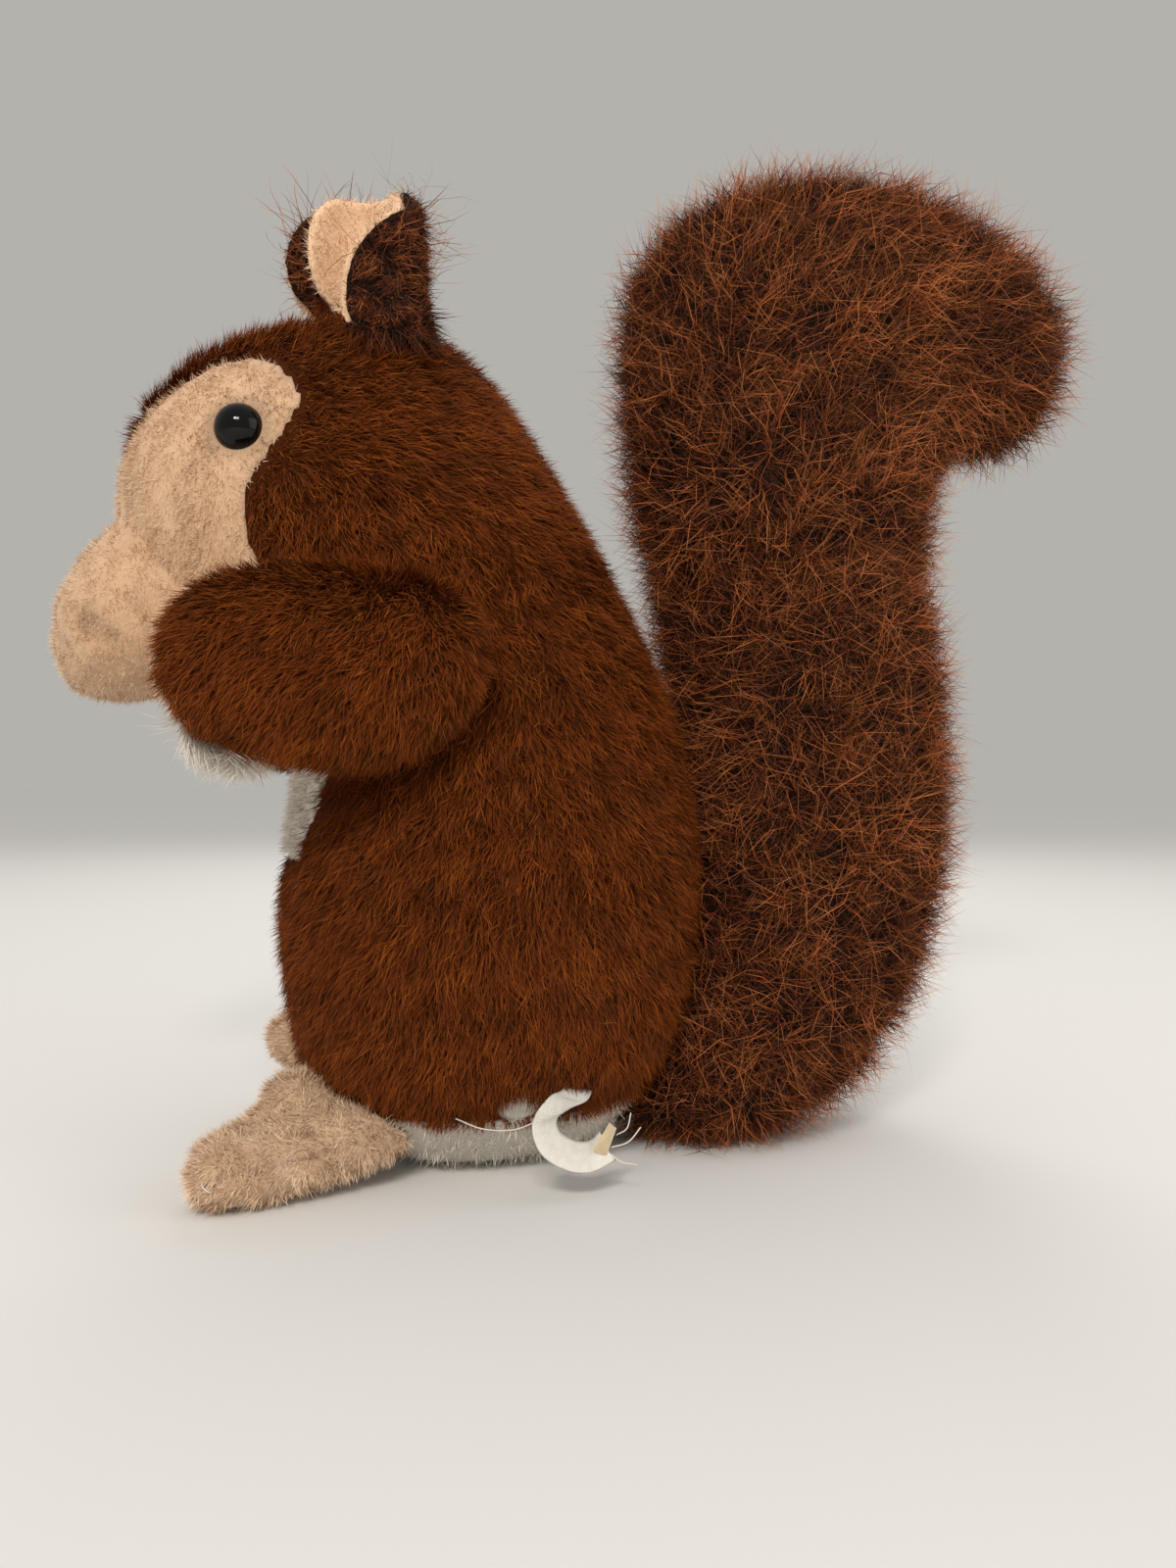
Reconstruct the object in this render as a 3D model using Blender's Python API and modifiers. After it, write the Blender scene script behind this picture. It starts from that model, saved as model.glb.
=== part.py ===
"""A seated plush squirrel: one stuffed trunk with sewn-in panels of other cloth, stuffed limbs, ears,
muzzle and tail sewn to it, two plastic eyes with their locking washers, and a bare sewn-in ribbon label.

The squirrel sits on the surface z = 0 and looks along -X. Its left side is towards -Y. The origin is the
middle of the flat underside of the trunk. Sizes in the tables are millimetres, and MM turns them to metres.
"""

from collections import namedtuple
from math import cos, pi, radians, sin

import bmesh
import bpy
from mathutils import Matrix, Vector
from mathutils.bvhtree import BVHTree

MM = 0.001

# Cloth, seams and clearances
SEAM_GAP = 0.3  # between pieces that are sewn against each other
PANEL_THICKNESS = 2.2  # velour or short plush with its pile
REACH = 250.0  # longer than anything that a cut has to run through

# Main sizes
TAIL_TOP = 237.5  # height of the curl's cage, which the finished curl stays 2.5 mm under
TAIL_REACH = 150.0  # from the trunk's middle back to the tip of the curl's cage
TRUNK_WIDTH = 91.0  # of the cage, at the widest place of the trunk
ARM_SPREAD = 43.0  # from the middle plane to the middle of each arm

# Sides of a soft form's cage, and the squareness of its sections: 2 is an ellipse, more is fuller
TRUNK_SIDES = 14
LIMB_SIDES = 12
TRUNK_SQUARENESS = 2.25
ARM_SQUARENESS = 2.2
FOOT_SQUARENESS = 2.4
MUZZLE_SQUARENESS = 2.1
TAIL_SQUARENESS = 2.1

# Eyes, moulded with a stem that a washer locks behind the cloth of the face
EYE_DIAMETER = 9.8
EYE_HEIGHT = 4.6
EYE_DOME_STEPS = 5
EYE_SINK = 0.9  # by which the eye's flat back is pressed into the cloth
EYE_STEM_DIAMETER = 3.0
EYE_STEM_LENGTH = 9.0
WASHER_DIAMETER = 9.0
WASHER_THICKNESS = 1.2
WASHER_SEAT = 0.9  # from the cloth's inner face to the washer, which clears the curve of the head
EYE_TO_SEAM = 8.0  # from the eye's centre straight back to the seam of the face

# Ears, curled round an upright line. The right one is sewn higher and further forward
EAR_PLACES = {"left": (-27.5, -20.0, 176.5), "right": (-31.0, 18.5, 182.5)}
EAR_HEIGHT = 31.0
EAR_BACK_THICKNESS = 1.8
EAR_LINING_THICKNESS = 1.8
EAR_HEM = 1.5  # by which the lining stands past the side edges of the back
EAR_COLUMNS = 5

# Height, radius of the curl, and the left ear's outer and inner edges in degrees from straight back
EAR_CURL = [
    (0.0, 12.0, -127.0, 103.0),
    (0.3, 12.4, -125.0, 113.0),
    (0.5, 12.6, -118.0, 149.0),
    (0.7, 12.6, -97.0, 157.0),
    (0.87, 11.8, -65.0, 152.0),
    (1.0, 9.0, -5.0, 132.0),
]

# Ribbon label
LABEL_WIDTH = 6.5
LABEL_THICKNESS = 0.5

Section = namedtuple("Section", "front back half_width middle_y")


def section(front, back, half_width, middle_y=0.0):
    """One cross-section: its two points in the side view, as (x, z), and its half width across."""
    return Section(Vector(front), Vector(back), half_width, middle_y)


# From the underside, up the back and over the head to the bridge of the nose
TRUNK = [
    section((-14.0, -3.0), (14.0, -3.0), 0.099 * TRUNK_WIDTH),
    section((-27.0, 3.0), (27.0, 2.5), 0.231 * TRUNK_WIDTH),
    section((-37.0, 12.0), (37.0, 11.0), 0.346 * TRUNK_WIDTH),
    section((-43.0, 26.0), (45.0, 26.0), 0.445 * TRUNK_WIDTH),
    section((-46.0, 46.0), (49.5, 45.0), 0.495 * TRUNK_WIDTH),
    section((-46.5, 65.0), (50.5, 64.0), 0.5 * TRUNK_WIDTH),
    section((-44.0, 82.0), (48.5, 85.0), 0.478 * TRUNK_WIDTH),
    section((-42.0, 95.0), (43.0, 106.0), 0.451 * TRUNK_WIDTH),
    section((-43.5, 102.5), (34.0, 124.0), 0.429 * TRUNK_WIDTH),
    section((-50.0, 105.5), (24.0, 142.5), 0.423 * TRUNK_WIDTH),
    section((-58.0, 108.0), (14.0, 158.0), 0.429 * TRUNK_WIDTH),
    section((-65.0, 112.5), (4.0, 174.0), 0.423 * TRUNK_WIDTH),
    section((-71.0, 119.0), (-9.0, 186.5), 0.396 * TRUNK_WIDTH),
    section((-75.0, 127.0), (-27.0, 188.5), 0.357 * TRUNK_WIDTH),
    section((-77.5, 135.0), (-46.0, 184.5), 0.308 * TRUNK_WIDTH),
    section((-79.0, 142.0), (-61.5, 177.5), 0.242 * TRUNK_WIDTH),
    section((-79.5, 148.5), (-73.5, 165.0), 0.154 * TRUNK_WIDTH),
]

# From the head to the tip of the nose
MUZZLE = [
    section((-60.0, 107.0), (-60.0, 139.0), 20.0),
    section((-71.0, 103.5), (-70.0, 141.5), 21.5),
    section((-79.0, 102.0), (-78.5, 142.0), 20.5),
    section((-85.0, 102.5), (-84.5, 137.5), 18.5),
    section((-89.5, 105.0), (-89.0, 129.5), 14.5),
    section((-93.0, 110.0), (-92.0, 123.0), 9.0),
]

# From the root below the trunk, up the back and round the curl to the tip
TAIL = [
    section((26.5, 6.0), (37.5, 0.0), 14.0),
    section((32.5, 16.5), (57.5, -3.5), 24.0),
    section((37.5, 29.0), (81.5, 2.5), 30.0),
    section((41.0, 44.0), (100.0, 16.0), 32.5),
    section((44.0, 59.5), (112.5, 38.5), 34.0),
    section((46.0, 77.5), (119.0, 65.5), 34.5),
    section((46.0, 95.0), (120.0, 91.0), 34.0),
    section((44.0, 112.0), (118.5, 111.0), 33.5),
    section((41.5, 124.5), (116.5, 124.0), 33.5),
    section((42.0, 133.0), (114.0, 132.0), 30.5),
    section((37.5, 140.5), (115.5, 140.0), 33.0),
    section((34.0, 161.0), (115.0, 153.0), 33.0),
    section((31.5, 196.5), (119.5, 164.5), 33.5),
    section((35.5, 212.5), (123.5, 167.5), 33.5),
    section((47.5, TAIL_TOP - 12.5), (126.5, 170.0), 33.0),
    section((63.5, TAIL_TOP - 3.5), (130.0, 171.5), 32.5),
    section((83.0, TAIL_TOP - 0.5), (133.0, 173.0), 32.0),
    section((103.0, TAIL_TOP - 1.5), (136.0, 174.0), 31.0),
    section((121.0, TAIL_TOP - 7.0), (139.0, 176.0), 29.5),
    section((134.5, 221.5), (142.0, 178.5), 27.0),
    section((TAIL_REACH - 6.0, 210.0), (TAIL_REACH - 5.5, 184.0), 22.5),
    section((TAIL_REACH - 1.5, 200.0), (TAIL_REACH - 3.5, 190.5), 14.0),
]

# The left arm, from the shoulder to the paw
ARM = [
    section((-8.0, 104.0), (-8.0, 115.0), 7.0, -ARM_SPREAD),
    section((-12.0, 96.5), (-11.0, 121.5), 11.5, -ARM_SPREAD),
    section((-20.0, 90.5), (-18.5, 125.5), 13.5, -ARM_SPREAD),
    section((-29.0, 87.5), (-28.0, 127.0), 14.0, 0.5 - ARM_SPREAD),
    section((-38.5, 87.0), (-38.0, 127.5), 14.0, 1.0 - ARM_SPREAD),
    section((-48.0, 89.0), (-48.0, 127.0), 13.5, 2.0 - ARM_SPREAD),
    section((-57.0, 92.0), (-57.5, 125.5), 12.5, 3.0 - ARM_SPREAD),
    section((-64.5, 96.0), (-65.0, 121.5), 10.5, 4.0 - ARM_SPREAD),
    section((-68.5, 102.0), (-69.0, 115.0), 7.0, 5.0 - ARM_SPREAD),
]
ARM_MIDDLE_SECTION = 4  # the section that the seam between plush and lining is measured from
ARM_LINING_OFFSET = 4.0  # from there to the seam, on the side next to the body
ARM_LINING_TURN = 5.0  # degrees by which the arm runs inwards

# The left foot, from the heel to the toe
FOOT = [
    section((-8.0, 10.0), (-8.0, 16.0), 6.0, -13.0),
    section((-14.0, 7.0), (-14.0, 20.0), 11.0, -14.0),
    section((-25.0, 4.0), (-25.0, 20.5), 13.5, -16.0),
    section((-37.0, 1.5), (-37.0, 18.5), 14.5, -18.5),
    section((-48.0, -0.5), (-48.0, 16.0), 14.5, -21.0),
    section((-58.0, -1.0), (-58.0, 14.0), 13.0, -23.5),
    section((-64.5, 1.5), (-64.5, 10.5), 8.5, -25.0),
]
ANKLE_CENTRE = (-42.0, -15.0, 16.0)
ANKLE_SIZE = (17.0, 18.0, 15.0)
RIGHT_FOOT_BACK = 4.0  # by which the right foot is sewn further back than the left one
RIGHT_FOOT_SPLAY = 32.0  # degrees that it points outwards
RIGHT_FOOT_PITCH = 14.0  # degrees that its toe is turned up

# Side view outline of the face panel, on the left of the head
FACE_OUTLINE = [
    (-78.5, 143.0),
    (-76.5, 151.5),
    (-72.0, 159.5),
    (-64.0, 166.0),
    (-54.5, 170.5),
    (-47.5, 169.5),
    (-43.5, 163.0),
    (-46.0, 155.5),
    (-50.5, 149.0),
    (-54.0, 142.0),
    (-54.0, 136.0),
    (-51.0, 129.0),
    (-46.0, 120.0),
    (-46.0, 110.0),
    (-56.0, 100.0),
    (-84.0, 100.0),
    (-84.0, 136.0),
]
FACE_SEAM_BY_EYE = 7  # the point of the outline that is level with the eye

# Front view outline of the white belly panel, as (y, z)
BELLY_OUTLINE = [
    (-17.0, 97.0),
    (-20.0, 90.0),
    (-17.5, 80.0),
    (-12.0, 70.0),
    (-8.0, 56.0),
    (-7.0, 40.0),
    (-8.0, 27.0),
    (8.0, 27.0),
    (7.0, 40.0),
    (8.0, 56.0),
    (12.0, 70.0),
    (17.5, 80.0),
    (20.0, 90.0),
    (17.0, 97.0),
]
BELLY_REAR_X = -14.0  # the belly panel's cut ends here, inside the trunk
BASE_CENTRE = (2.0, 0.0, 0.0)
BASE_SIZE = (104.0, 100.0, 54.0)  # of the egg shape whose inside is the white underside

# Path of the ribbon label's middle line, and the direction across its width, from seam to loose end
LABEL_PATH = [
    ((15.6, -31.0, 20.8), (-0.97, -0.06, 0.23)),
    ((13.0, -37.0, 20.4), (-0.90, -0.21, 0.39)),
    ((8.9, -41.0, 20.2), (-0.77, -0.41, 0.48)),
    ((5.4, -43.0, 17.4), (-0.89, -0.46, 0.04)),
    ((6.5, -43.5, 13.1), (-0.77, -0.49, -0.40)),
    ((10.7, -43.0, 10.1), (-0.49, -0.56, -0.66)),
    ((15.0, -42.0, 9.2), (-0.16, -0.60, -0.78)),
    ((19.2, -40.5, 10.6), (0.28, -0.53, -0.80)),
]

collection = bpy.data.collections.new("plush_squirrel")
cutters = bpy.data.collections.new("cutters")


def clear_scene():
    for old in list(bpy.data.objects):
        bpy.data.objects.remove(old)
    for home in (collection, cutters):
        bpy.context.scene.collection.children.link(home)


def plain_material(name, colour, roughness=0.95):
    material = bpy.data.materials.new(name)
    material.use_nodes = True
    shader = material.node_tree.nodes["Principled BSDF"]
    shader.inputs["Base Color"].default_value = (*colour, 1.0)
    shader.inputs["Roughness"].default_value = roughness
    shader.inputs["Metallic"].default_value = 0.0
    return material


def add_object(name, bm):
    """Turns a bmesh in metres into a cutter. A cutter becomes a piece of the squirrel in finish()."""
    mesh = bpy.data.meshes.new(name)
    bm.to_mesh(mesh)
    bm.free()
    made = bpy.data.objects.new(name, mesh)
    cutters.objects.link(made)
    made.hide_render = True
    made.display_type = "WIRE"
    return made


def evaluated(source, name, grow=0.0):
    """A cutter with the evaluated mesh of another object, moved out along its normals by grow mm."""
    bpy.context.view_layer.update()
    graph = bpy.context.evaluated_depsgraph_get()
    mesh = bpy.data.meshes.new_from_object(source.evaluated_get(graph))
    bm = bmesh.new()
    bm.from_mesh(mesh)
    bm.transform(source.matrix_world)
    bpy.data.meshes.remove(mesh)
    bmesh.ops.remove_doubles(bm, verts=bm.verts, dist=0.001 * MM)
    bm.normal_update()
    if grow:
        moved = [(vertex, vertex.co + vertex.normal * grow * MM) for vertex in bm.verts]
        for vertex, place in moved:
            vertex.co = place
    return add_object(name, bm)


def combine(first, second, operation):
    """first with a Boolean of second applied to it. Both are meshes."""
    boolean = first.modifiers.new(operation.lower(), "BOOLEAN")
    boolean.operation = operation
    boolean.object = second
    result = evaluated(first, first.name + "_cut")
    first.modifiers.clear()
    first.data = result.data
    bpy.data.objects.remove(result)
    return first


def finish(piece, name, material):
    """Moves a finished piece from the cutters to the squirrel."""
    cutters.objects.unlink(piece)
    collection.objects.link(piece)
    piece.name = name
    piece.hide_render = False
    piece.display_type = "TEXTURED"
    piece.data.materials.clear()
    piece.data.materials.append(material)
    piece.data.shade_smooth()
    piece.data.set_sharp_from_angle(angle=radians(40))
    return piece


def section_middle(cut):
    """The centre of a cross-section, in millimetres."""
    side = (cut.front + cut.back) / 2
    return Vector((side.x, cut.middle_y, side.y))


def power(value, squareness):
    """A signed power, which squares up a circle's sine and cosine."""
    size = abs(value) ** (2.0 / squareness)
    return size if value >= 0 else -size


def ring_points(cut, sides, squareness):
    """The points round one cross-section, in metres."""
    reach = (cut.back - cut.front) / 2
    points = []
    for step in range(sides):
        turn = 2 * pi * step / sides
        along = reach * power(cos(turn), squareness)
        across = cut.half_width * power(sin(turn), squareness)
        points.append((section_middle(cut) + Vector((along.x, across, along.y))) * MM)
    return points


def loft(name, sections, sides, squareness):
    """A closed soft form through cross-sections: a coarse cage of rings with Subdivision Surface."""
    bm = bmesh.new()
    loops = []
    for cut in sections:
        ring = [bm.verts.new(point) for point in ring_points(cut, sides, squareness)]
        loops.append([bm.edges.new((ring[i - 1], ring[i])) for i in range(sides)])
    for lower, upper in zip(loops, loops[1:]):
        bmesh.ops.bridge_loops(bm, edges=lower + upper)
    for end in (loops[0], loops[-1]):
        bmesh.ops.edgeloop_fill(bm, edges=end)
    bmesh.ops.recalc_face_normals(bm, faces=bm.faces)
    form = add_object(name, bm)
    smooth = form.modifiers.new("smooth", "SUBSURF")
    smooth.levels = 1
    smooth.render_levels = 1
    made = evaluated(form, name + "_form")
    bpy.data.objects.remove(form)
    made.name = name
    return made


def flatten_below(form):
    """Cuts a form off flat at z = 0, where it rests."""
    bm = bmesh.new()
    bm.from_mesh(form.data)
    everything = bm.verts[:] + bm.edges[:] + bm.faces[:]
    cut = bmesh.ops.bisect_plane(
        bm, geom=everything, plane_co=(0, 0, 0), plane_no=(0, 0, -1), clear_outer=True
    )
    rim = [item for item in cut["geom_cut"] if isinstance(item, bmesh.types.BMEdge)]
    bmesh.ops.holes_fill(bm, edges=rim)
    bmesh.ops.recalc_face_normals(bm, faces=bm.faces)
    bm.to_mesh(form.data)
    bm.free()
    return form


def prism(name, outline, low, high, axis, grow=0.0):
    """A solid with a smooth outline, extruded from low to high along Y (axis "Y") or X (axis "X")."""
    curve = bpy.data.curves.new(name, "CURVE")
    curve.dimensions = "2D"
    curve.fill_mode = "BOTH"
    curve.extrude = (high - low) / 2 * MM
    curve.offset = grow * MM
    curve.resolution_u = 2
    spline = curve.splines.new("BEZIER")
    spline.bezier_points.add(len(outline) - 1)
    for point, (across, up) in zip(spline.bezier_points, outline):
        point.co = (across * MM, up * MM, 0)
        point.handle_left_type = "AUTO"
        point.handle_right_type = "AUTO"
    spline.use_cyclic_u = True
    drawn = bpy.data.objects.new(name + "_drawn", curve)
    cutters.objects.link(drawn)
    drawn.hide_render = True
    middle = (high + low) / 2 * MM
    if axis == "Y":
        drawn.matrix_world = Matrix.Translation((0, middle, 0)) @ Matrix.Rotation(pi / 2, 4, "X")
    else:
        turned = Matrix.Rotation(pi / 2, 4, "Z") @ Matrix.Rotation(pi / 2, 4, "X")
        drawn.matrix_world = Matrix.Translation((middle, 0, 0)) @ turned
    made = evaluated(drawn, name)
    bpy.data.objects.remove(drawn)
    bm = bmesh.new()
    bm.from_mesh(made.data)
    bmesh.ops.remove_doubles(bm, verts=bm.verts, dist=0.01 * MM)
    bmesh.ops.recalc_face_normals(bm, faces=bm.faces)
    bm.to_mesh(made.data)
    bm.free()
    return made


def mirrored(source, name):
    """The same mesh on the other side of the squirrel."""
    bm = bmesh.new()
    bm.from_mesh(source.data)
    bm.transform(source.matrix_world)
    bmesh.ops.scale(bm, vec=(1, -1, 1), verts=bm.verts)
    bmesh.ops.reverse_faces(bm, faces=bm.faces)
    return add_object(name, bm)


def ellipsoid(name, centre, size, segments=16, rings=10):
    bm = bmesh.new()
    bmesh.ops.create_uvsphere(bm, u_segments=segments, v_segments=rings, radius=0.5)
    bmesh.ops.scale(bm, vec=Vector(size) * MM, verts=bm.verts)
    bmesh.ops.translate(bm, vec=Vector(centre) * MM, verts=bm.verts)
    return add_object(name, bm)


def cut_panel(form, outline_solid, name):
    """A panel of cloth on the form's surface, with the outline of a solid that runs through it."""
    panel = evaluated(form, name)
    combine(panel, outline_solid, "INTERSECT")
    return combine(panel, evaluated(form, "core", grow=-PANEL_THICKNESS), "DIFFERENCE")


def cut_pocket(trunk, form, outline_solid):
    """The pocket in the trunk that takes one or two panels, a seam's gap deeper than they are thick."""
    pocket = evaluated(form, "pocket", grow=2 * PANEL_THICKNESS)
    combine(pocket, outline_solid, "INTERSECT")
    combine(pocket, evaluated(form, "core", grow=-PANEL_THICKNESS - SEAM_GAP), "DIFFERENCE")
    combine(trunk, pocket, "DIFFERENCE")


def surface_at(form, x, z):
    """Where the left surface of a form lies at that place in the side view, with its normal."""
    tree = BVHTree.FromObject(form, bpy.context.evaluated_depsgraph_get())
    start = Vector((x, -REACH, z)) * MM
    place, normal, _, _ = tree.ray_cast(start, Vector((0, 1, 0)))
    return place, normal


def turned_profile(name, profile, segments=16):
    """A solid turned about Z from (radius, height) points, listed from top to bottom."""
    bm = bmesh.new()
    line = [bm.verts.new((radius * MM, 0, height * MM)) for radius, height in profile]
    edges = [bm.edges.new(pair) for pair in zip(line, line[1:])]
    bmesh.ops.spin(
        bm,
        geom=line + edges,
        cent=(0, 0, 0),
        axis=(0, 0, 1),
        angle=2 * pi,
        steps=segments,
        use_merge=True,
    )
    bmesh.ops.remove_doubles(bm, verts=bm.verts, dist=0.001 * MM)
    bmesh.ops.recalc_face_normals(bm, faces=bm.faces)
    return add_object(name, bm)


def eye_profile():
    """The dome, its flat back and the stem, from the top of the dome down."""
    turns = [pi / 2 * step / EYE_DOME_STEPS for step in range(EYE_DOME_STEPS + 1)]
    dome = [(EYE_DIAMETER / 2 * sin(turn), EYE_HEIGHT * cos(turn)) for turn in turns]
    stem = EYE_STEM_DIAMETER / 2
    return dome + [(stem, 0.0), (stem, -EYE_STEM_LENGTH), (0.0, -EYE_STEM_LENGTH)]


def washer_heights():
    """The washer's top and bottom, from the eye's flat back."""
    top = EYE_SINK - PANEL_THICKNESS - WASHER_SEAT
    return top, top - WASHER_THICKNESS


def washer_profile():
    outer = WASHER_DIAMETER / 2
    inner = EYE_STEM_DIAMETER / 2 + SEAM_GAP
    top, bottom = washer_heights()
    return [(inner, top), (outer, top), (outer, bottom), (inner, bottom), (inner, top)]


def seat_profile():
    """The seat that the dome is pressed into, and the hole for the stem, in the cloth of the face."""
    rim = EYE_DIAMETER / 2 + SEAM_GAP
    stem = EYE_STEM_DIAMETER / 2 + SEAM_GAP
    return [
        (0.0, EYE_HEIGHT),
        (rim, EYE_HEIGHT),
        (rim, -SEAM_GAP),
        (stem, -SEAM_GAP),
        (stem, -EYE_STEM_LENGTH),
        (0.0, -EYE_STEM_LENGTH),
    ]


def washer_room_profile():
    """The room that the washer and the end of the stem take in the stuffing behind the cloth."""
    stem = EYE_STEM_DIAMETER / 2 + SEAM_GAP
    outer = WASHER_DIAMETER / 2 + SEAM_GAP
    floor = washer_heights()[1] - SEAM_GAP
    end = -EYE_STEM_LENGTH - SEAM_GAP
    return [(0.0, EYE_HEIGHT), (outer, EYE_HEIGHT), (outer, floor), (stem, floor), (stem, end), (0.0, end)]


def make_eyes(trunk, form, panels, velour, black, clear):
    """Seats each eye on the face, square to the surface there, with its washer behind the cloth."""
    seam_x, seam_z = FACE_OUTLINE[FACE_SEAM_BY_EYE]
    place, normal = surface_at(form, seam_x - EYE_TO_SEAM, seam_z)
    back = Matrix.Translation(place - normal * EYE_SINK * MM)
    pose = back @ normal.to_track_quat("Z", "Y").to_matrix().to_4x4()
    profiles = (eye_profile(), washer_profile(), seat_profile(), washer_room_profile())
    left = [turned_profile("eye_part", profile) for profile in profiles]
    for solid in left:
        solid.data.transform(pose)
    right = [mirrored(solid, "eye_part") for solid in left]
    for side, (eye, washer, seat, room) in (("left", left), ("right", right)):
        combine(trunk, room, "DIFFERENCE")
        combine(panels[side], seat, "DIFFERENCE")
        finish(panels[side], "face_panel_" + side, velour)
        finish(eye, "eye_" + side, black)
        finish(washer, "eye_washer_" + side, clear)


def ear_sheet(name, inset, margin, thickness, offset):
    """A round sheet curled about Z, thickened to one side. Its opening is towards -X."""
    bm = bmesh.new()
    rows = []
    for height, curl_radius, outer, inner in EAR_CURL:
        radius = curl_radius - inset
        trim = margin / radius
        first = radians(outer) + trim
        step = (radians(inner) - trim - first) / EAR_COLUMNS
        turns = [first + step * column for column in range(EAR_COLUMNS + 1)]
        places = [Vector((radius * cos(a), radius * sin(a), height * EAR_HEIGHT)) for a in turns]
        rows.append([bm.verts.new(place * MM) for place in places])
    for lower, upper in zip(rows, rows[1:]):
        for i in range(EAR_COLUMNS):
            bm.faces.new((lower[i + 1], lower[i], upper[i], upper[i + 1]))
    sheet = add_object(name, bm)
    smooth = sheet.modifiers.new("smooth", "SUBSURF")
    smooth.levels = 1
    smooth.render_levels = 1
    wall = sheet.modifiers.new("wall", "SOLIDIFY")
    wall.thickness = thickness * MM
    wall.offset = offset
    return sheet


def make_ears(trunk_form, fur, lining):
    """Two cupped ears: a long-piled back with a velour lining inside it, both sewn to the head."""
    head = evaluated(trunk_form, "head_for_ears", grow=SEAM_GAP)
    for part, shape, material in (
        ("back", (0.0, EAR_HEM, EAR_BACK_THICKNESS, -1.0), fur),
        ("lining", (SEAM_GAP, 0.0, EAR_LINING_THICKNESS, 1.0), lining),
    ):
        left = evaluated(ear_sheet("ear_sheet", *shape), f"ear_{part}_left")
        right = mirrored(left, f"ear_{part}_right")
        for side, ear in (("left", left), ("right", right)):
            ear.data.transform(Matrix.Translation(Vector(EAR_PLACES[side]) * MM))
            combine(ear, head, "DIFFERENCE")
            finish(ear, f"ear_{part}_{side}", material)


def half_space(name, point, normal):
    """A large block that fills the side of a plane towards which its normal points."""
    size = REACH * MM
    bm = bmesh.new()
    bmesh.ops.create_cube(bm, size=size)
    bmesh.ops.translate(bm, vec=(0, 0, size / 2), verts=bm.verts)
    turn = Vector(normal).to_track_quat("Z", "Y").to_matrix().to_4x4()
    bm.transform(Matrix.Translation(Vector(point) * MM) @ turn)
    return add_object(name, bm)


def make_arms(trunk_form, plush, velour):
    """Each arm has a plush outside and a velour lining, joined by a seam on the side next to the body."""
    body = evaluated(trunk_form, "body_for_arms", grow=SEAM_GAP)
    arm = loft("arm_form", ARM, LIMB_SIDES, ARM_SQUARENESS)
    combine(arm, body, "DIFFERENCE")
    turn = radians(ARM_LINING_TURN)
    inwards = Vector((-sin(turn), cos(turn), 0))
    seam = section_middle(ARM[ARM_MIDDLE_SECTION]) + inwards * ARM_LINING_OFFSET
    for part, point, normal, material in (
        ("arm", seam, -inwards, plush),
        ("arm_lining", seam + inwards * SEAM_GAP, inwards, velour),
    ):
        left = evaluated(arm, part + "_left")
        combine(left, half_space("seam_side", point, normal), "INTERSECT")
        right = mirrored(left, part + "_right")
        finish(left, part + "_left", material)
        finish(right, part + "_right", material)


def make_feet(trunk_form, velour):
    """Two flat stuffed feet. The left one lies flat, and the right one's toe is turned up."""
    body = evaluated(trunk_form, "body_for_feet", grow=SEAM_GAP)
    foot = loft("foot_form", FOOT, LIMB_SIDES, FOOT_SQUARENESS)
    combine(foot, ellipsoid("ankle", ANKLE_CENTRE, ANKLE_SIZE), "UNION")
    right = mirrored(foot, "foot_right")
    heel_place = section_middle(FOOT[0]) * MM
    heel_place.y = -heel_place.y
    heel = Matrix.Translation(heel_place)
    back = Matrix.Translation((RIGHT_FOOT_BACK * MM, 0, 0))
    splay = Matrix.Rotation(-radians(RIGHT_FOOT_SPLAY), 4, "Z")
    pitch = Matrix.Rotation(radians(RIGHT_FOOT_PITCH), 4, "Y")
    right.data.transform(back @ heel @ splay @ pitch @ heel.inverted())
    for side, piece in (("left", foot), ("right", right)):
        combine(piece, body, "DIFFERENCE")
        flatten_below(piece)
        finish(piece, "foot_" + side, velour)


def make_label(trunk_form, ribbon):
    """A bare ribbon, sewn in at one end, whose loose end curls round."""
    body = evaluated(trunk_form, "body_for_label", grow=SEAM_GAP)
    bm = bmesh.new()
    rows = []
    for (x, y, z), across in LABEL_PATH:
        reach = Vector(across).normalized() * LABEL_WIDTH / 2
        middle = Vector((x, y, z))
        rows.append([bm.verts.new((middle + reach * side) * MM) for side in (-1, 1)])
    for (low, high), (next_low, next_high) in zip(rows, rows[1:]):
        bm.faces.new((low, high, next_high, next_low))
    strip = add_object("label_strip", bm)
    smooth = strip.modifiers.new("smooth", "SUBSURF")
    smooth.levels = 1
    smooth.render_levels = 1
    wall = strip.modifiers.new("cloth", "SOLIDIFY")
    wall.thickness = LABEL_THICKNESS * MM
    wall.offset = 0.0
    label = evaluated(strip, "label")
    combine(label, body, "DIFFERENCE")
    finish(label, "label", ribbon)


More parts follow.
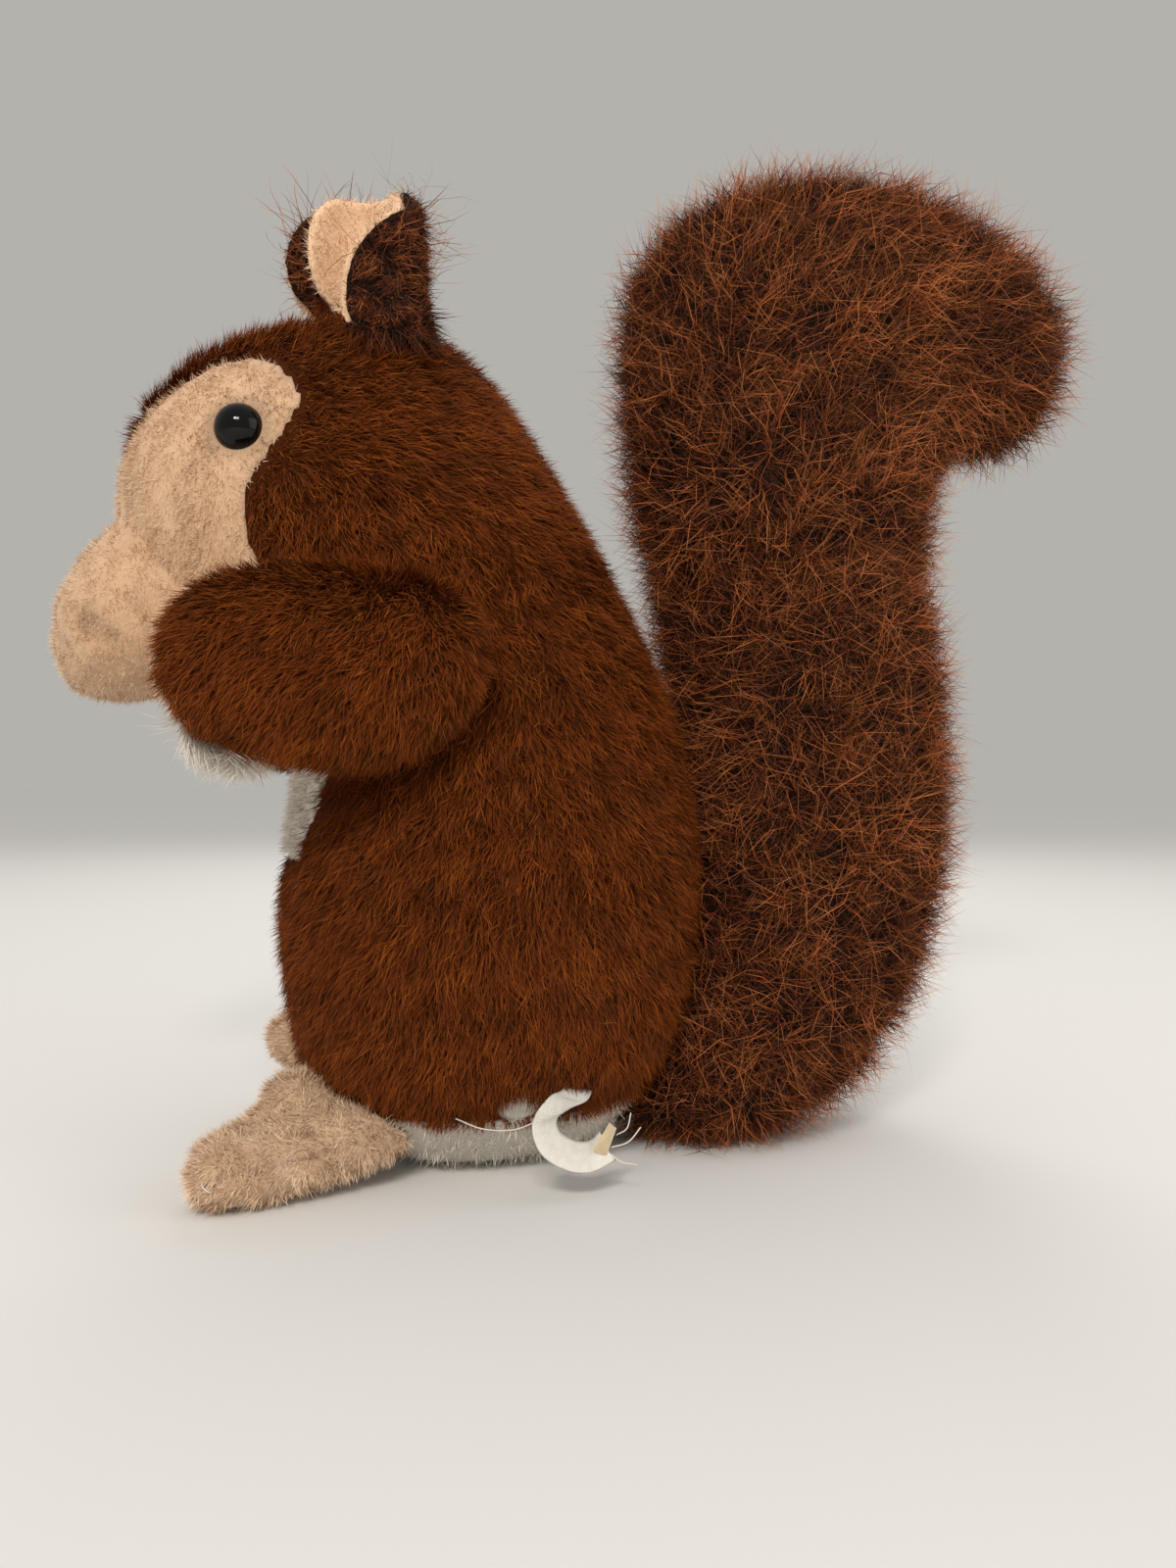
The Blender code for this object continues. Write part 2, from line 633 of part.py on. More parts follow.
def make_panels(form, trunk, white):
    """Sews the panels into the trunk. The two face panels are returned, to be pierced by the eyes."""
    left_face = prism("face", FACE_OUTLINE, -REACH, -SEAM_GAP / 2, "Y")
    left = cut_panel(form, left_face, "face_panel_left")
    right = mirrored(left, "face_panel_right")
    cut_pocket(trunk, form, prism("faces", FACE_OUTLINE, -REACH, REACH, "Y", SEAM_GAP))

    belly = prism("belly", BELLY_OUTLINE, -REACH, BELLY_REAR_X, "X")
    finish(cut_panel(form, belly, "belly_panel"), "belly_panel", white)
    cut_pocket(trunk, form, prism("belly_room", BELLY_OUTLINE, -REACH, BELLY_REAR_X, "X", SEAM_GAP))

    base = ellipsoid("base", BASE_CENTRE, BASE_SIZE, segments=24, rings=12)
    base_room = evaluated(base, "base_room", grow=SEAM_GAP)
    finish(cut_panel(form, base, "base_panel"), "base_panel", white)
    cut_pocket(trunk, form, base_room)
    return {"left": left, "right": right}


def make_muzzle(trunk_form, velour):
    muzzle = loft("muzzle", MUZZLE, LIMB_SIDES, MUZZLE_SQUARENESS)
    combine(muzzle, evaluated(trunk_form, "head_for_muzzle", grow=SEAM_GAP), "DIFFERENCE")
    finish(muzzle, "muzzle", velour)


def make_tail(trunk_form, fur):
    """The tail is sewn to the trunk's back, curls away at the top, and rests on the surface below."""
    tail = loft("tail", TAIL, LIMB_SIDES, TAIL_SQUARENESS)
    combine(tail, evaluated(trunk_form, "back_for_tail", grow=SEAM_GAP), "DIFFERENCE")
    flatten_below(tail)
    finish(tail, "tail", fur)


def main():
    clear_scene()
    brown_plush = plain_material("brown_plush", (0.23, 0.085, 0.022))
    long_pile = plain_material("long_pile", (0.10, 0.032, 0.014))
    velour = plain_material("beige_velour", (0.68, 0.50, 0.37))
    cream = plain_material("cream_velour", (0.80, 0.62, 0.44))
    white = plain_material("white_plush", (0.80, 0.77, 0.72))
    black = plain_material("black_plastic", (0.01, 0.01, 0.012), roughness=0.08)
    clear = plain_material("clear_plastic", (0.75, 0.75, 0.75), roughness=0.4)
    ribbon = plain_material("ribbon", (0.85, 0.82, 0.75), roughness=0.7)

    form = loft("trunk_form", TRUNK, TRUNK_SIDES, TRUNK_SQUARENESS)
    flatten_below(form)
    trunk = evaluated(form, "trunk")
    panels = make_panels(form, trunk, white)
    make_eyes(trunk, form, panels, velour, black, clear)
    finish(trunk, "trunk", brown_plush)

    make_ears(form, long_pile, cream)
    make_muzzle(form, velour)
    make_arms(form, brown_plush, velour)
    make_feet(form, velour)
    make_tail(form, long_pile)
    make_label(form, ribbon)
    for leftover in list(cutters.objects):
        bpy.data.objects.remove(leftover)


main()
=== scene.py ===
"""Looks for the plush squirrel: cloth skins, seams, pile, eyes, a ribbon label and loose threads."""

from math import cos, pi, radians, sin

import bmesh
import bpy
import numpy as np
from mathutils import Matrix, Vector
from mathutils.bvhtree import BVHTree
from mathutils.kdtree import KDTree


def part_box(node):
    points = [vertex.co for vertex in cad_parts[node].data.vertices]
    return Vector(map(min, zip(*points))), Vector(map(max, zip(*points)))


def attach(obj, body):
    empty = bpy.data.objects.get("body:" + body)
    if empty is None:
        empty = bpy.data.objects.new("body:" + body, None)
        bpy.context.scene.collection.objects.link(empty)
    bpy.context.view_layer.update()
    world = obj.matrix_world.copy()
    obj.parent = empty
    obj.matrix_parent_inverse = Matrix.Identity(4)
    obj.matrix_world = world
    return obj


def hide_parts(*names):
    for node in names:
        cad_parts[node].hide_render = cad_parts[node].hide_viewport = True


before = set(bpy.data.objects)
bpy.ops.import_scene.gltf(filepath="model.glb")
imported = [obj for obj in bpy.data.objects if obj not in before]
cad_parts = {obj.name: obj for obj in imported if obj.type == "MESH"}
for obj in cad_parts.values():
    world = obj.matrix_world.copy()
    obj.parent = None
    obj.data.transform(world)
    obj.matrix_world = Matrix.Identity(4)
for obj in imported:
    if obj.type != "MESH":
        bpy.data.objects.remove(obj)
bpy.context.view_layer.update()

MM = 0.001
UV_NAME = "OFBake"  # across a strand is its tone, along it is root to tip
# Painted shade: the velour is darker in the nose's dents and round the eyes, and each ear's lining has a
# darker hem
SHADE_AND_HEM = "stain"  # how dark the velour is in dents and round the eyes
# The colour that the velour darkens to, for the painted shade and for the ears' hems
SHADE_AND_HEM_COLOUR = (112, 88, 70)
BROWN_DYE = (66, 27, 5)
FLOOR_CLEARANCE = 0.2 * MM
SIDES = ("left", "right")
SIMULATED_FRAMES = 20
SWELL_PRESSURE = 4.0
VOXEL = {"body": 3.1, "tail": 4.0, "arm": 2.5, "foot": 2.0, "ear": 0.8}  # size of a skin's faces, in mm
SWELL = {"body": 1.2, "tail": 1.2, "arm": 1.0, "foot": 0.7}  # most that the stuffing moves a point, in mm

# The nodes that share the body's one skin, the last of them sewn on and blended in like the real muzzle
BODY_NODES = ("trunk", "face_panel_left", "face_panel_right", "belly_panel", "base_panel", "muzzle")
SEAM_SHARE = 0.8  # by which a panel's cloth runs out over its seam, in mm
NOSE_SEAM_REACH = 5.0  # within this of both the face and the nose, in mm, the cloth is velour
BASE_RISE = 0.4  # by which the cloth of the base lies over the skin below it, in mm

# Where brown pile grows over the white panels, in mm, and the place by the label where it doesn't
BELLY_WHITE_FROM = 69.0
BASE_BROWN_FROM = 14.0
BARE_SPOT = (2.5, -38.0, 15.4)
BARE_RADIUS = 6.2

EYE_BACK = (-53.71, -29.8, 155.36)
EYE_AXIS = (-0.319, -0.934, 0.1607)
EYE_RADIUS = 4.95
EYE_HEIGHT = 4.7

# Strands in each coat of pile
BODY_UNDER = 140000
BODY_LOCKS = 42000
TAIL_UNDER = 90000
TAIL_LOCKS = 44000
TAIL_WISPS = 7000
ARM_UNDER = 18000
ARM_LOCKS = 4800
EAR_UNDER = 9000
EAR_LOCKS = 3600
EAR_SKIRT = 2200
EAR_WISPS = 300
FACE_FUZZ = 12000
MUZZLE_FUZZ = 17000
FOOT_FUZZ = 12500
PALM_FUZZ = 3000
PALM_TUFT = 2600
LINING_FUZZ = 5000
BELLY_PILE = 4000
BASE_PILE = 7000
STRAND_SHARE = 1.0


# Shader building

class Wire:
    """A value in a material. Arithmetic on it adds Math nodes."""

    def __init__(self, finish, socket):
        self.finish = finish
        self.socket = socket

    def maths(self, operation, *values):
        made = self.finish.node("ShaderNodeMath", {"operation": operation}, *values)
        return Wire(self.finish, made.outputs[0])

    def __add__(self, other):
        return self.maths("ADD", self, other)

    def __radd__(self, other):
        return self.maths("ADD", other, self)

    def __sub__(self, other):
        return self.maths("SUBTRACT", self, other)

    def __rsub__(self, other):
        return self.maths("SUBTRACT", other, self)

    def __mul__(self, other):
        return self.maths("MULTIPLY", self, other)

    def __rmul__(self, other):
        return self.maths("MULTIPLY", other, self)

    def clamped(self):
        return self.maths("MINIMUM", self.maths("MAXIMUM", self, 0.0), 1.0)


class Nodes:
    """The nodes of a material or world."""

    def __init__(self, tree):
        self.tree = tree

    def node(self, kind, settings=None, *values, **named):
        """A node of any kind. Settings are set first, then values or links of its sockets."""
        made = self.tree.nodes.new(kind)
        for key, value in (settings or {}).items():
            if key == "stops":
                ramp = made.color_ramp
                while len(ramp.elements) < len(value):
                    ramp.elements.new(1.0)
                for element, (position, colour) in zip(ramp.elements, value):
                    element.position = position
                    element.color = colour
            else:
                setattr(made, key, value)
        for socket, value in list(enumerate(values)) + [(k.replace("_", " "), v) for k, v in named.items()]:
            self.join(value, made.inputs[socket])
        return made

    def join(self, value, socket):
        if isinstance(value, Wire):
            self.tree.links.new(value.socket, socket)
        else:
            socket.default_value = value

    def wire(self, made, output=0):
        return Wire(self, made.outputs[output])

    def place(self):
        return self.wire(self.node("ShaderNodeTexCoord"), "Object")

    def noise(self, scale, detail=2.0, roughness=0.5):
        made = self.node(
            "ShaderNodeTexNoise", None, Vector=self.place(), Scale=scale, Detail=detail, Roughness=roughness
        )
        return self.wire(made, "Fac")

    def ramp(self, value, stops):
        return self.wire(self.node("ShaderNodeValToRGB", {"stops": stops}, value), "Color")

    def mix(self, factor, first, second):
        made = self.node("ShaderNodeMix", {"data_type": "RGBA"})
        for name, value in (("Factor_Float", factor), ("A_Color", first), ("B_Color", second)):
            socket = next(s for s in made.inputs if s.identifier == name)
            self.join(value, socket)
        return Wire(self, next(s for s in made.outputs if s.identifier == "Result_Color"))

    def bump(self, height, distance, strength=1.0):
        made = self.node("ShaderNodeBump", None, Height=height, Distance=distance, Strength=strength)
        return self.wire(made)


class Finish(Nodes):
    """A material made of nodes round one Principled shader."""

    def __init__(self, name, **fixed):
        self.material = bpy.data.materials.new(name)
        self.material.use_nodes = True
        super().__init__(self.material.node_tree)
        self.shader = self.tree.nodes["Principled BSDF"]
        for socket, value in fixed.items():
            self.shader.inputs[socket.replace("_", " ")].default_value = value

    def set(self, **links):
        for name, value in links.items():
            self.join(value, self.shader.inputs[name.replace("_", " ")])
        return self.material


def shade(red, green, blue):
    """A colour as it looks on a screen, 0 to 255, as the renderer's linear values with full alpha."""
    parts = [value / 255 for value in (red, green, blue)]
    return (*(((part + 0.055) / 1.055) ** 2.4 if part > 0.04 else part / 12.92 for part in parts), 1.0)


def pile_finish(name, dark, light):
    """Pile. Dark and light are the two ends of its tone, each from root to tip."""
    finish = Finish(name, Roughness=0.75, Specular_IOR_Level=0.15)
    uv = finish.node("ShaderNodeUVMap", {"uv_map": UV_NAME})
    parts = finish.node("ShaderNodeSeparateXYZ", None, finish.wire(uv))
    tone, along = finish.wire(parts, "X"), finish.wire(parts, "Y")
    ends = []
    for colours in (dark, light):
        stops = [(i / (len(colours) - 1), shade(*colour)) for i, colour in enumerate(colours)]
        ends.append(finish.ramp(along, stops))
    return finish.set(Base_Color=finish.mix(tone, *ends))


def backing_finish(name, dark, light, grain=900.0, depth=0.0004, brown=None):
    """The cloth that the pile stands on. Brown gives two heights in mm between which it is dyed brown."""
    finish = Finish(name, Roughness=0.95, Specular_IOR_Level=0.1)
    patches = finish.noise(60.0, 3.0)
    fine = finish.noise(grain, 2.0)
    colour = finish.mix((patches * 0.5 + fine * 0.5).clamped(), shade(*dark), shade(*light))
    if brown:
        height = finish.wire(finish.node("ShaderNodeSeparateXYZ", None, finish.place()), "Z")
        spot = Vector(BARE_SPOT) * MM
        away = finish.node("ShaderNodeVectorMath", {"operation": "DISTANCE"}, finish.place(), spot)
        away = (finish.wire(away, "Value") - BARE_RADIUS * MM) * 1000.0
        dyed = ((height - brown[0] * MM) * 1000.0).clamped() * ((brown[1] * MM - height) * 1000.0).clamped()
        colour = finish.mix(dyed * away.clamped(), colour, shade(*BROWN_DYE))
    return finish.set(Base_Color=colour, Normal=finish.bump(fine, depth))


def velour_finish(name, dark, light, grain=1500.0):
    """Velour: a very short pile that is brushed in soft patches, and darker by its stain attribute: painted
    shade in the nose's dents and round the eyes, and a darker hem on each ear's lining.
    """
    finish = Finish(name, Roughness=0.9, Specular_IOR_Level=0.15, Sheen_Weight=0.25, Sheen_Roughness=0.5)
    brushed = finish.noise(140.0, 3.0, 0.6)
    fine = finish.noise(grain, 3.0, 0.7)
    blend = ((brushed - 0.5) * 1.4 + (fine - 0.5) * 0.9 + 0.5).clamped()
    colour = finish.mix(blend, shade(*dark), shade(*light))
    # Painted shade in the dents and round the eyes, and the ears' darker hems, read from the attribute
    stain = finish.wire(finish.node("ShaderNodeAttribute", {"attribute_name": SHADE_AND_HEM}), "Fac")
    colour = finish.mix((stain * 0.75).clamped(), colour, shade(*SHADE_AND_HEM_COLOUR))
    height = fine * 0.5 + brushed * 0.8
    return finish.set(Base_Color=colour, Normal=finish.bump(height, 0.0006))


def satin_finish():
    """White satin tape, woven with fine threads across its width."""
    finish = Finish("satin_tape", Roughness=0.5, Specular_IOR_Level=0.4, Sheen_Weight=0.2)
    uv = finish.wire(finish.node("ShaderNodeUVMap", {"uv_map": UV_NAME}))
    parts = finish.node("ShaderNodeSeparateXYZ", None, uv)
    rows = finish.wire(parts, "Y") * 700.0
    threads = rows.maths("SINE", rows)
    grain = finish.noise(700.0, 2.0)
    colour = finish.mix(grain, shade(214, 208, 196), shade(240, 237, 228))
    return finish.set(Base_Color=colour, Normal=finish.bump(threads * 0.5 + grain, 0.0001))


def eye_finish():
    """Black moulded plastic, polished, with a few faint rubs."""
    finish = Finish("eye_plastic", Specular_IOR_Level=0.22)
    rubs = finish.noise(900.0, 4.0)
    colour = finish.mix(rubs, shade(5, 5, 7), shade(13, 12, 13))
    return finish.set(Base_Color=colour, Roughness=rubs * 0.06 + 0.06)


BROWN = pile_finish(
    "brown_pile",
    dark=[(53, 20, 1), (89, 38, 4), (116, 55, 8)],
    light=[(80, 33, 3), (130, 64, 9), (168, 92, 20)],
)
BROWN_UNDER = pile_finish(
    "brown_under_pile",
    dark=[(42, 15, 1), (74, 30, 3), (98, 43, 6)],
    light=[(66, 26, 2), (110, 50, 6), (142, 71, 13)],
)
RUST = pile_finish(
    "rust_tipped_pile",
    dark=[(22, 12, 8), (62, 31, 15), (116, 60, 28)],
    light=[(48, 24, 12), (162, 84, 40), (236, 152, 92)],
)
DARK_UNDER = pile_finish(
    "dark_under_pile",
    dark=[(18, 12, 9), (36, 22, 14), (66, 36, 20)],
    light=[(34, 19, 12), (102, 52, 26), (156, 80, 38)],
)
WHITE_PILE = pile_finish(
    "white_pile",
    dark=[(176, 164, 148), (206, 196, 182), (222, 214, 202)],
    light=[(206, 198, 184), (232, 226, 216), (245, 241, 234)],
)
BEIGE_FUZZ = pile_finish(
    "beige_fuzz",
    dark=[(149, 119, 93), (182, 149, 117), (204, 173, 140)],
    light=[(202, 169, 137), (225, 195, 162), (238, 214, 186)],
)
CREAM_FUZZ = pile_finish(
    "cream_fuzz",
    dark=[(196, 152, 118), (216, 174, 138), (232, 196, 162)],
    light=[(222, 184, 150), (238, 206, 176), (250, 228, 204)],
)
FOOT_FUZZ_PILE = pile_finish(
    "foot_fuzz",
    dark=[(154, 124, 97), (190, 156, 126), (214, 183, 152)],
    light=[(206, 173, 140), (234, 206, 174), (248, 228, 202)],
)
BROWN_BACKING = backing_finish("brown_backing", (41, 16, 2), (79, 33, 6))
DARK_BACKING = backing_finish("dark_backing", (14, 9, 8), (38, 20, 15))
BELLY_BACKING = backing_finish(
    "belly_backing", (190, 182, 170), (226, 220, 210), brown=(-1.0, BELLY_WHITE_FROM)
)
# Painted shade: the base's white cloth is a darker copy of the belly's, because it lies underneath, out of
# the light
SHADED_BASE_BACKING = backing_finish(
    "shaded_base_backing", (176, 169, 158), (214, 208, 198), brown=(BASE_BROWN_FROM, 90.0)
)
BEIGE_VELOUR = velour_finish("beige_velour_cloth", (180, 144, 112), (220, 184, 150))
FOOT_VELOUR = velour_finish("foot_velour_cloth", (170, 138, 110), (210, 180, 149))
CREAM_VELOUR = velour_finish("cream_velour_cloth", (214, 172, 134), (242, 208, 172))
SATIN = satin_finish()
TAPE_END = backing_finish("tape_end", (226, 206, 168), (244, 230, 200), grain=1500.0, depth=0.0001)
THREAD_WHITE = backing_finish("white_thread", (196, 190, 178), (232, 228, 218), grain=3000.0, depth=0.0001)
EYE_BLACK = eye_finish()


# Curves and skins

def point_tree(points):
    """A tree that finds the nearest of some points."""
    tree = KDTree(len(points))
    for number, point in enumerate(points):
        tree.insert(point, number)
    tree.balance()
    return tree


def mesh_from(bm, name):
    """Ends a bmesh and gives its mesh."""
    mesh = bpy.data.meshes.new(name)
    bm.to_mesh(mesh)
    bm.free()
    return mesh


def placed(name, data):
    """A new object in the scene, at the origin."""
    made = bpy.data.objects.new(name, data)
    bpy.context.scene.collection.objects.link(made)
    return made


def smoothed(bm, verts, factor):
    bmesh.ops.smooth_vert(bm, verts=verts, factor=factor, use_axis_x=True, use_axis_y=True, use_axis_z=True)


def along_curve(rows, steps):
    """Points on a smooth curve through rows of numbers."""
    rows = [np.array(row, float) for row in rows]
    rows = [2 * rows[0] - rows[1]] + rows + [2 * rows[-1] - rows[-2]]
    points = []
    for a, b, c, d in zip(rows, rows[1:], rows[2:], rows[3:]):
        for step in range(steps):
            t = step / steps
            bend = (2 * a - 5 * b + 4 * c - d) * t**2 + (3 * b - a - 3 * c + d) * t**3
            points.append(0.5 * (2 * b + (c - a) * t + bend))
    return points + [rows[-2]]


def new_piece(name, mesh, finish, slot, *nodes):
    """An object for a mesh that is already in place. It rides on the one body."""
    piece = placed(name, mesh)
    piece.data.materials.clear()
    piece.data.materials.append(finish)
    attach(piece, "root")
    if nodes:
        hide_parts(*nodes)
    return piece


def rows_of(collection, key, width, kind):
    """A mesh's own values as rows of numbers."""
    values = np.empty(len(collection) * width, kind)
    collection.foreach_get(key, values)
    return values.reshape(-1, width)


def coordinates(mesh):
    return rows_of(mesh.vertices, "co", 3, np.float32).astype(float)


def vertex_normals(mesh):
    return rows_of(mesh.vertex_normals, "vector", 3, np.float32).astype(float)


def set_coordinates(mesh, places):
    mesh.vertices.foreach_set("co", np.asarray(places, np.float32).ravel())
    mesh.update()


def applied(piece):
    """Applies a piece's modifiers to its mesh."""
    graph = bpy.context.evaluated_depsgraph_get()
    mesh = bpy.data.meshes.new_from_object(piece.evaluated_get(graph))
    piece.modifiers.clear()
    piece.data = mesh
    return piece


def keep_largest(bm):
    """Deletes all but the largest island. The rest are the walls of rooms inside."""
    left = set(bm.verts)
    islands = []
    while left:
        island = set()
        reached = [left.pop()]
        while reached:
            vert = reached.pop()
            island.add(vert)
            for edge in vert.link_edges:
                other = edge.other_vert(vert)
                if other in left:
                    left.remove(other)
                    reached.append(other)
        islands.append(island)
    islands.sort(key=len)
    bmesh.ops.delete(bm, geom=[vert for island in islands[:-1] for vert in island], context="VERTS")


def skin_over(name, nodes, voxel, plugs=()):
    """One closed skin over copies of CAD nodes. Plugs fill the rooms inside, as (centre, radius) in mm."""
    bm = bmesh.new()
    for node in nodes:
        bm.from_mesh(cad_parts[node].data)
    bmesh.ops.remove_doubles(bm, verts=bm.verts, dist=0.01 * MM)
    for centre, radius in plugs:
        bmesh.ops.create_icosphere(
            bm, subdivisions=3, radius=radius * MM, matrix=Matrix.Translation(Vector(centre) * MM)
        )
    piece = placed(name, mesh_from(bm, name))
    remesh = piece.modifiers.new("voxels", "REMESH")
    remesh.mode = "VOXEL"
    remesh.voxel_size = voxel * MM
    applied(piece)
    bm = bmesh.new()
    bm.from_mesh(piece.data)
    keep_largest(bm)
    for _ in range(3):
        smoothed(bm, bm.verts, 0.5)
    bmesh.ops.recalc_face_normals(bm, faces=bm.faces)
    bm.to_mesh(piece.data)
    bm.free()
    return piece


def fill_with_stuffing(pieces):
    """Swells stuffed skins with a cloth simulation. Pieces are (piece, most that a point may move in mm)."""
    scene = bpy.context.scene
    for piece, _ in pieces:
        cloth = piece.modifiers.new("stuffing", "CLOTH")
        cloth.settings.use_pressure = True
        cloth.settings.uniform_pressure_force = SWELL_PRESSURE
        cloth.settings.effector_weights.gravity = 0.0
        cloth.settings.quality = 5
        cloth.point_cache.frame_start = 1
        cloth.point_cache.frame_end = SIMULATED_FRAMES
    for number in range(1, SIMULATED_FRAMES + 1):
        scene.frame_set(number)
    graph = bpy.context.evaluated_depsgraph_get()
    for piece, most in pieces:
        rest = coordinates(piece.data)
        swollen = coordinates(piece.evaluated_get(graph).data)
        move = swollen - rest
        length = np.linalg.norm(move, axis=1, keepdims=True)
        move *= np.minimum(1.0, most * MM / np.maximum(length, 1e-9))
        piece.modifiers.clear()
        set_coordinates(piece.data, rest + move)
    scene.frame_set(1)


def subdivided(piece):
    smooth = piece.modifiers.new("subdivision", "SUBSURF")
    smooth.levels = 1
    smooth.render_levels = 1
    return applied(piece)


def tree_of(mesh):
    mesh.calc_loop_triangles()
    return BVHTree.FromPolygons(
        [v.co for v in mesh.vertices], [t.vertices[:] for t in mesh.loop_triangles], epsilon=0.0
    )


def node_tree(node):
    return tree_of(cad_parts[node].data)


def nearest_node(places, nodes):
    """For each place, which of the nodes is nearest to it. The others spread a little over the first."""
    distances = np.array([distance_from(node, places) for node in nodes])
    distances[0] += SEAM_SHARE * MM
    return distances.argmin(axis=0)


def distance_from(node, places):
    tree = node_tree(node)
    return np.array([tree.find_nearest(Vector(place))[3] for place in places])


def covered_by(places, nodes, margin):
    """True where a place lies in a node or within a margin of it, in mm, so that nothing grows there."""
    margin *= MM
    hidden = np.zeros(len(places), bool)
    for node in nodes:
        tree = node_tree(node)
        low, high = (np.array(corner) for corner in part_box(node))
        close = np.all((places > low - margin) & (places < high + margin), axis=1)
        for index in np.flatnonzero(close):
            near, normal, _, distance = tree.find_nearest(Vector(places[index]))
            inside = (Vector(places[index]) - near).dot(normal) < 0
            if inside or distance < margin:
                hidden[index] = True
    return hidden


def borders(mesh, mask):
    """The points of a skin that lie on the border of a part of it."""
    pairs = rows_of(mesh.edges, "vertices", 2, np.int32)
    cross = mask[pairs[:, 0]] != mask[pairs[:, 1]]
    return np.unique(pairs[cross].ravel())


def distance_to(places, targets):
    tree = point_tree(targets)
    return np.array([tree.find(place)[2] for place in places])


def press_in(piece, line, depth, width):
    """Pulls the skin in near a line of places. Depth and width are in mm."""
    places = coordinates(piece.data)
    apart = distance_to(places, line)
    pull = depth * MM * np.exp(-((apart / (width * MM)) ** 2))
    set_coordinates(piece.data, places - vertex_normals(piece.data) * pull[:, None])


def sink_seam(piece, mask, depth, width):
    """Pulls the skin in along the border of a part, where a seam runs."""
    press_in(piece, coordinates(piece.data)[borders(piece.data, mask)], depth, width)


def panel_from(skin, mask, name, finish, slot, *nodes, rise=0.3, thickness=1.4, spread=1):
    """A sewn-in panel: the masked part of a skin, with an even edge and the thickness of its cloth."""
    bm = bmesh.new()
    bm.from_mesh(skin.data)
    bm.verts.ensure_lookup_table()
    inside = {vert for vert in bm.verts if mask[vert.index]}
    for _ in range(spread):
        inside |= {edge.other_vert(vert) for vert in inside for edge in vert.link_edges}
    bmesh.ops.delete(bm, geom=[vert for vert in bm.verts if vert not in inside], context="VERTS")
    keep_largest(bm)
    for factor in (0.5, -0.35, 0.5, -0.35, 0.5, -0.35):
        rim = [vert for vert in bm.verts if vert.is_boundary]
        smoothed(bm, rim, factor)
    bm.normal_update()
    rim = [vert for vert in bm.verts if vert.is_boundary]
    rim_set = set(rim)
    for vert in bm.verts:
        if vert not in rim_set:
            vert.co += vert.normal * rise * MM
    bmesh.ops.solidify(bm, geom=bm.faces, thickness=thickness * MM)
    bmesh.ops.recalc_face_normals(bm, faces=bm.faces)
    mesh = mesh_from(bm, name)
    mesh.shade_smooth()
    return new_piece(name, mesh, finish, slot, *nodes)


# Pile

def waves(places, size, seed):
    """Smooth random vectors that change over about the given size, in mm."""
    rng = np.random.default_rng(seed)
    total = np.zeros((len(places), 3))
    for _ in range(7):
        direction = rng.normal(size=3)
        direction *= 2 * pi / (size * MM) * rng.uniform(0.6, 1.5) / np.linalg.norm(direction)
        angle = places @ direction + rng.uniform(0, 2 * pi)
        total += np.sin(angle)[:, None] * rng.normal(size=3)
    return total / 2.6


def unit(vectors):
    return vectors / np.maximum(np.linalg.norm(vectors, axis=1, keepdims=True), 1e-12)


class Ground:
    """The part of a skin that pile grows from."""

    def __init__(self, skin, mask):
        mesh = skin.data
        mesh.calc_loop_triangles()
        corners = rows_of(mesh.loop_triangles, "vertices", 3, np.int32)
        self.places = coordinates(mesh)
        self.normals = vertex_normals(mesh)
        self.corners = corners[mask[corners].all(axis=1)]
        a, b, c = (self.places[self.corners[:, i]] for i in range(3))
        self.areas = np.linalg.norm(np.cross(b - a, c - a), axis=1) / 2

    def roots(self, count, seed):
        """Random places on it, with the surface's normals."""
        rng = np.random.default_rng(seed)
        share = np.cumsum(self.areas) / self.areas.sum()
        chosen = self.corners[np.searchsorted(share, rng.random(count)).clip(0, len(share) - 1)]
        first, second = np.sqrt(rng.random(count)), rng.random(count)
        weights = np.stack([1 - first, first * (1 - second), first * second], axis=1)[:, :, None]
        return (self.places[chosen] * weights).sum(axis=1), unit((self.normals[chosen] * weights).sum(axis=1))


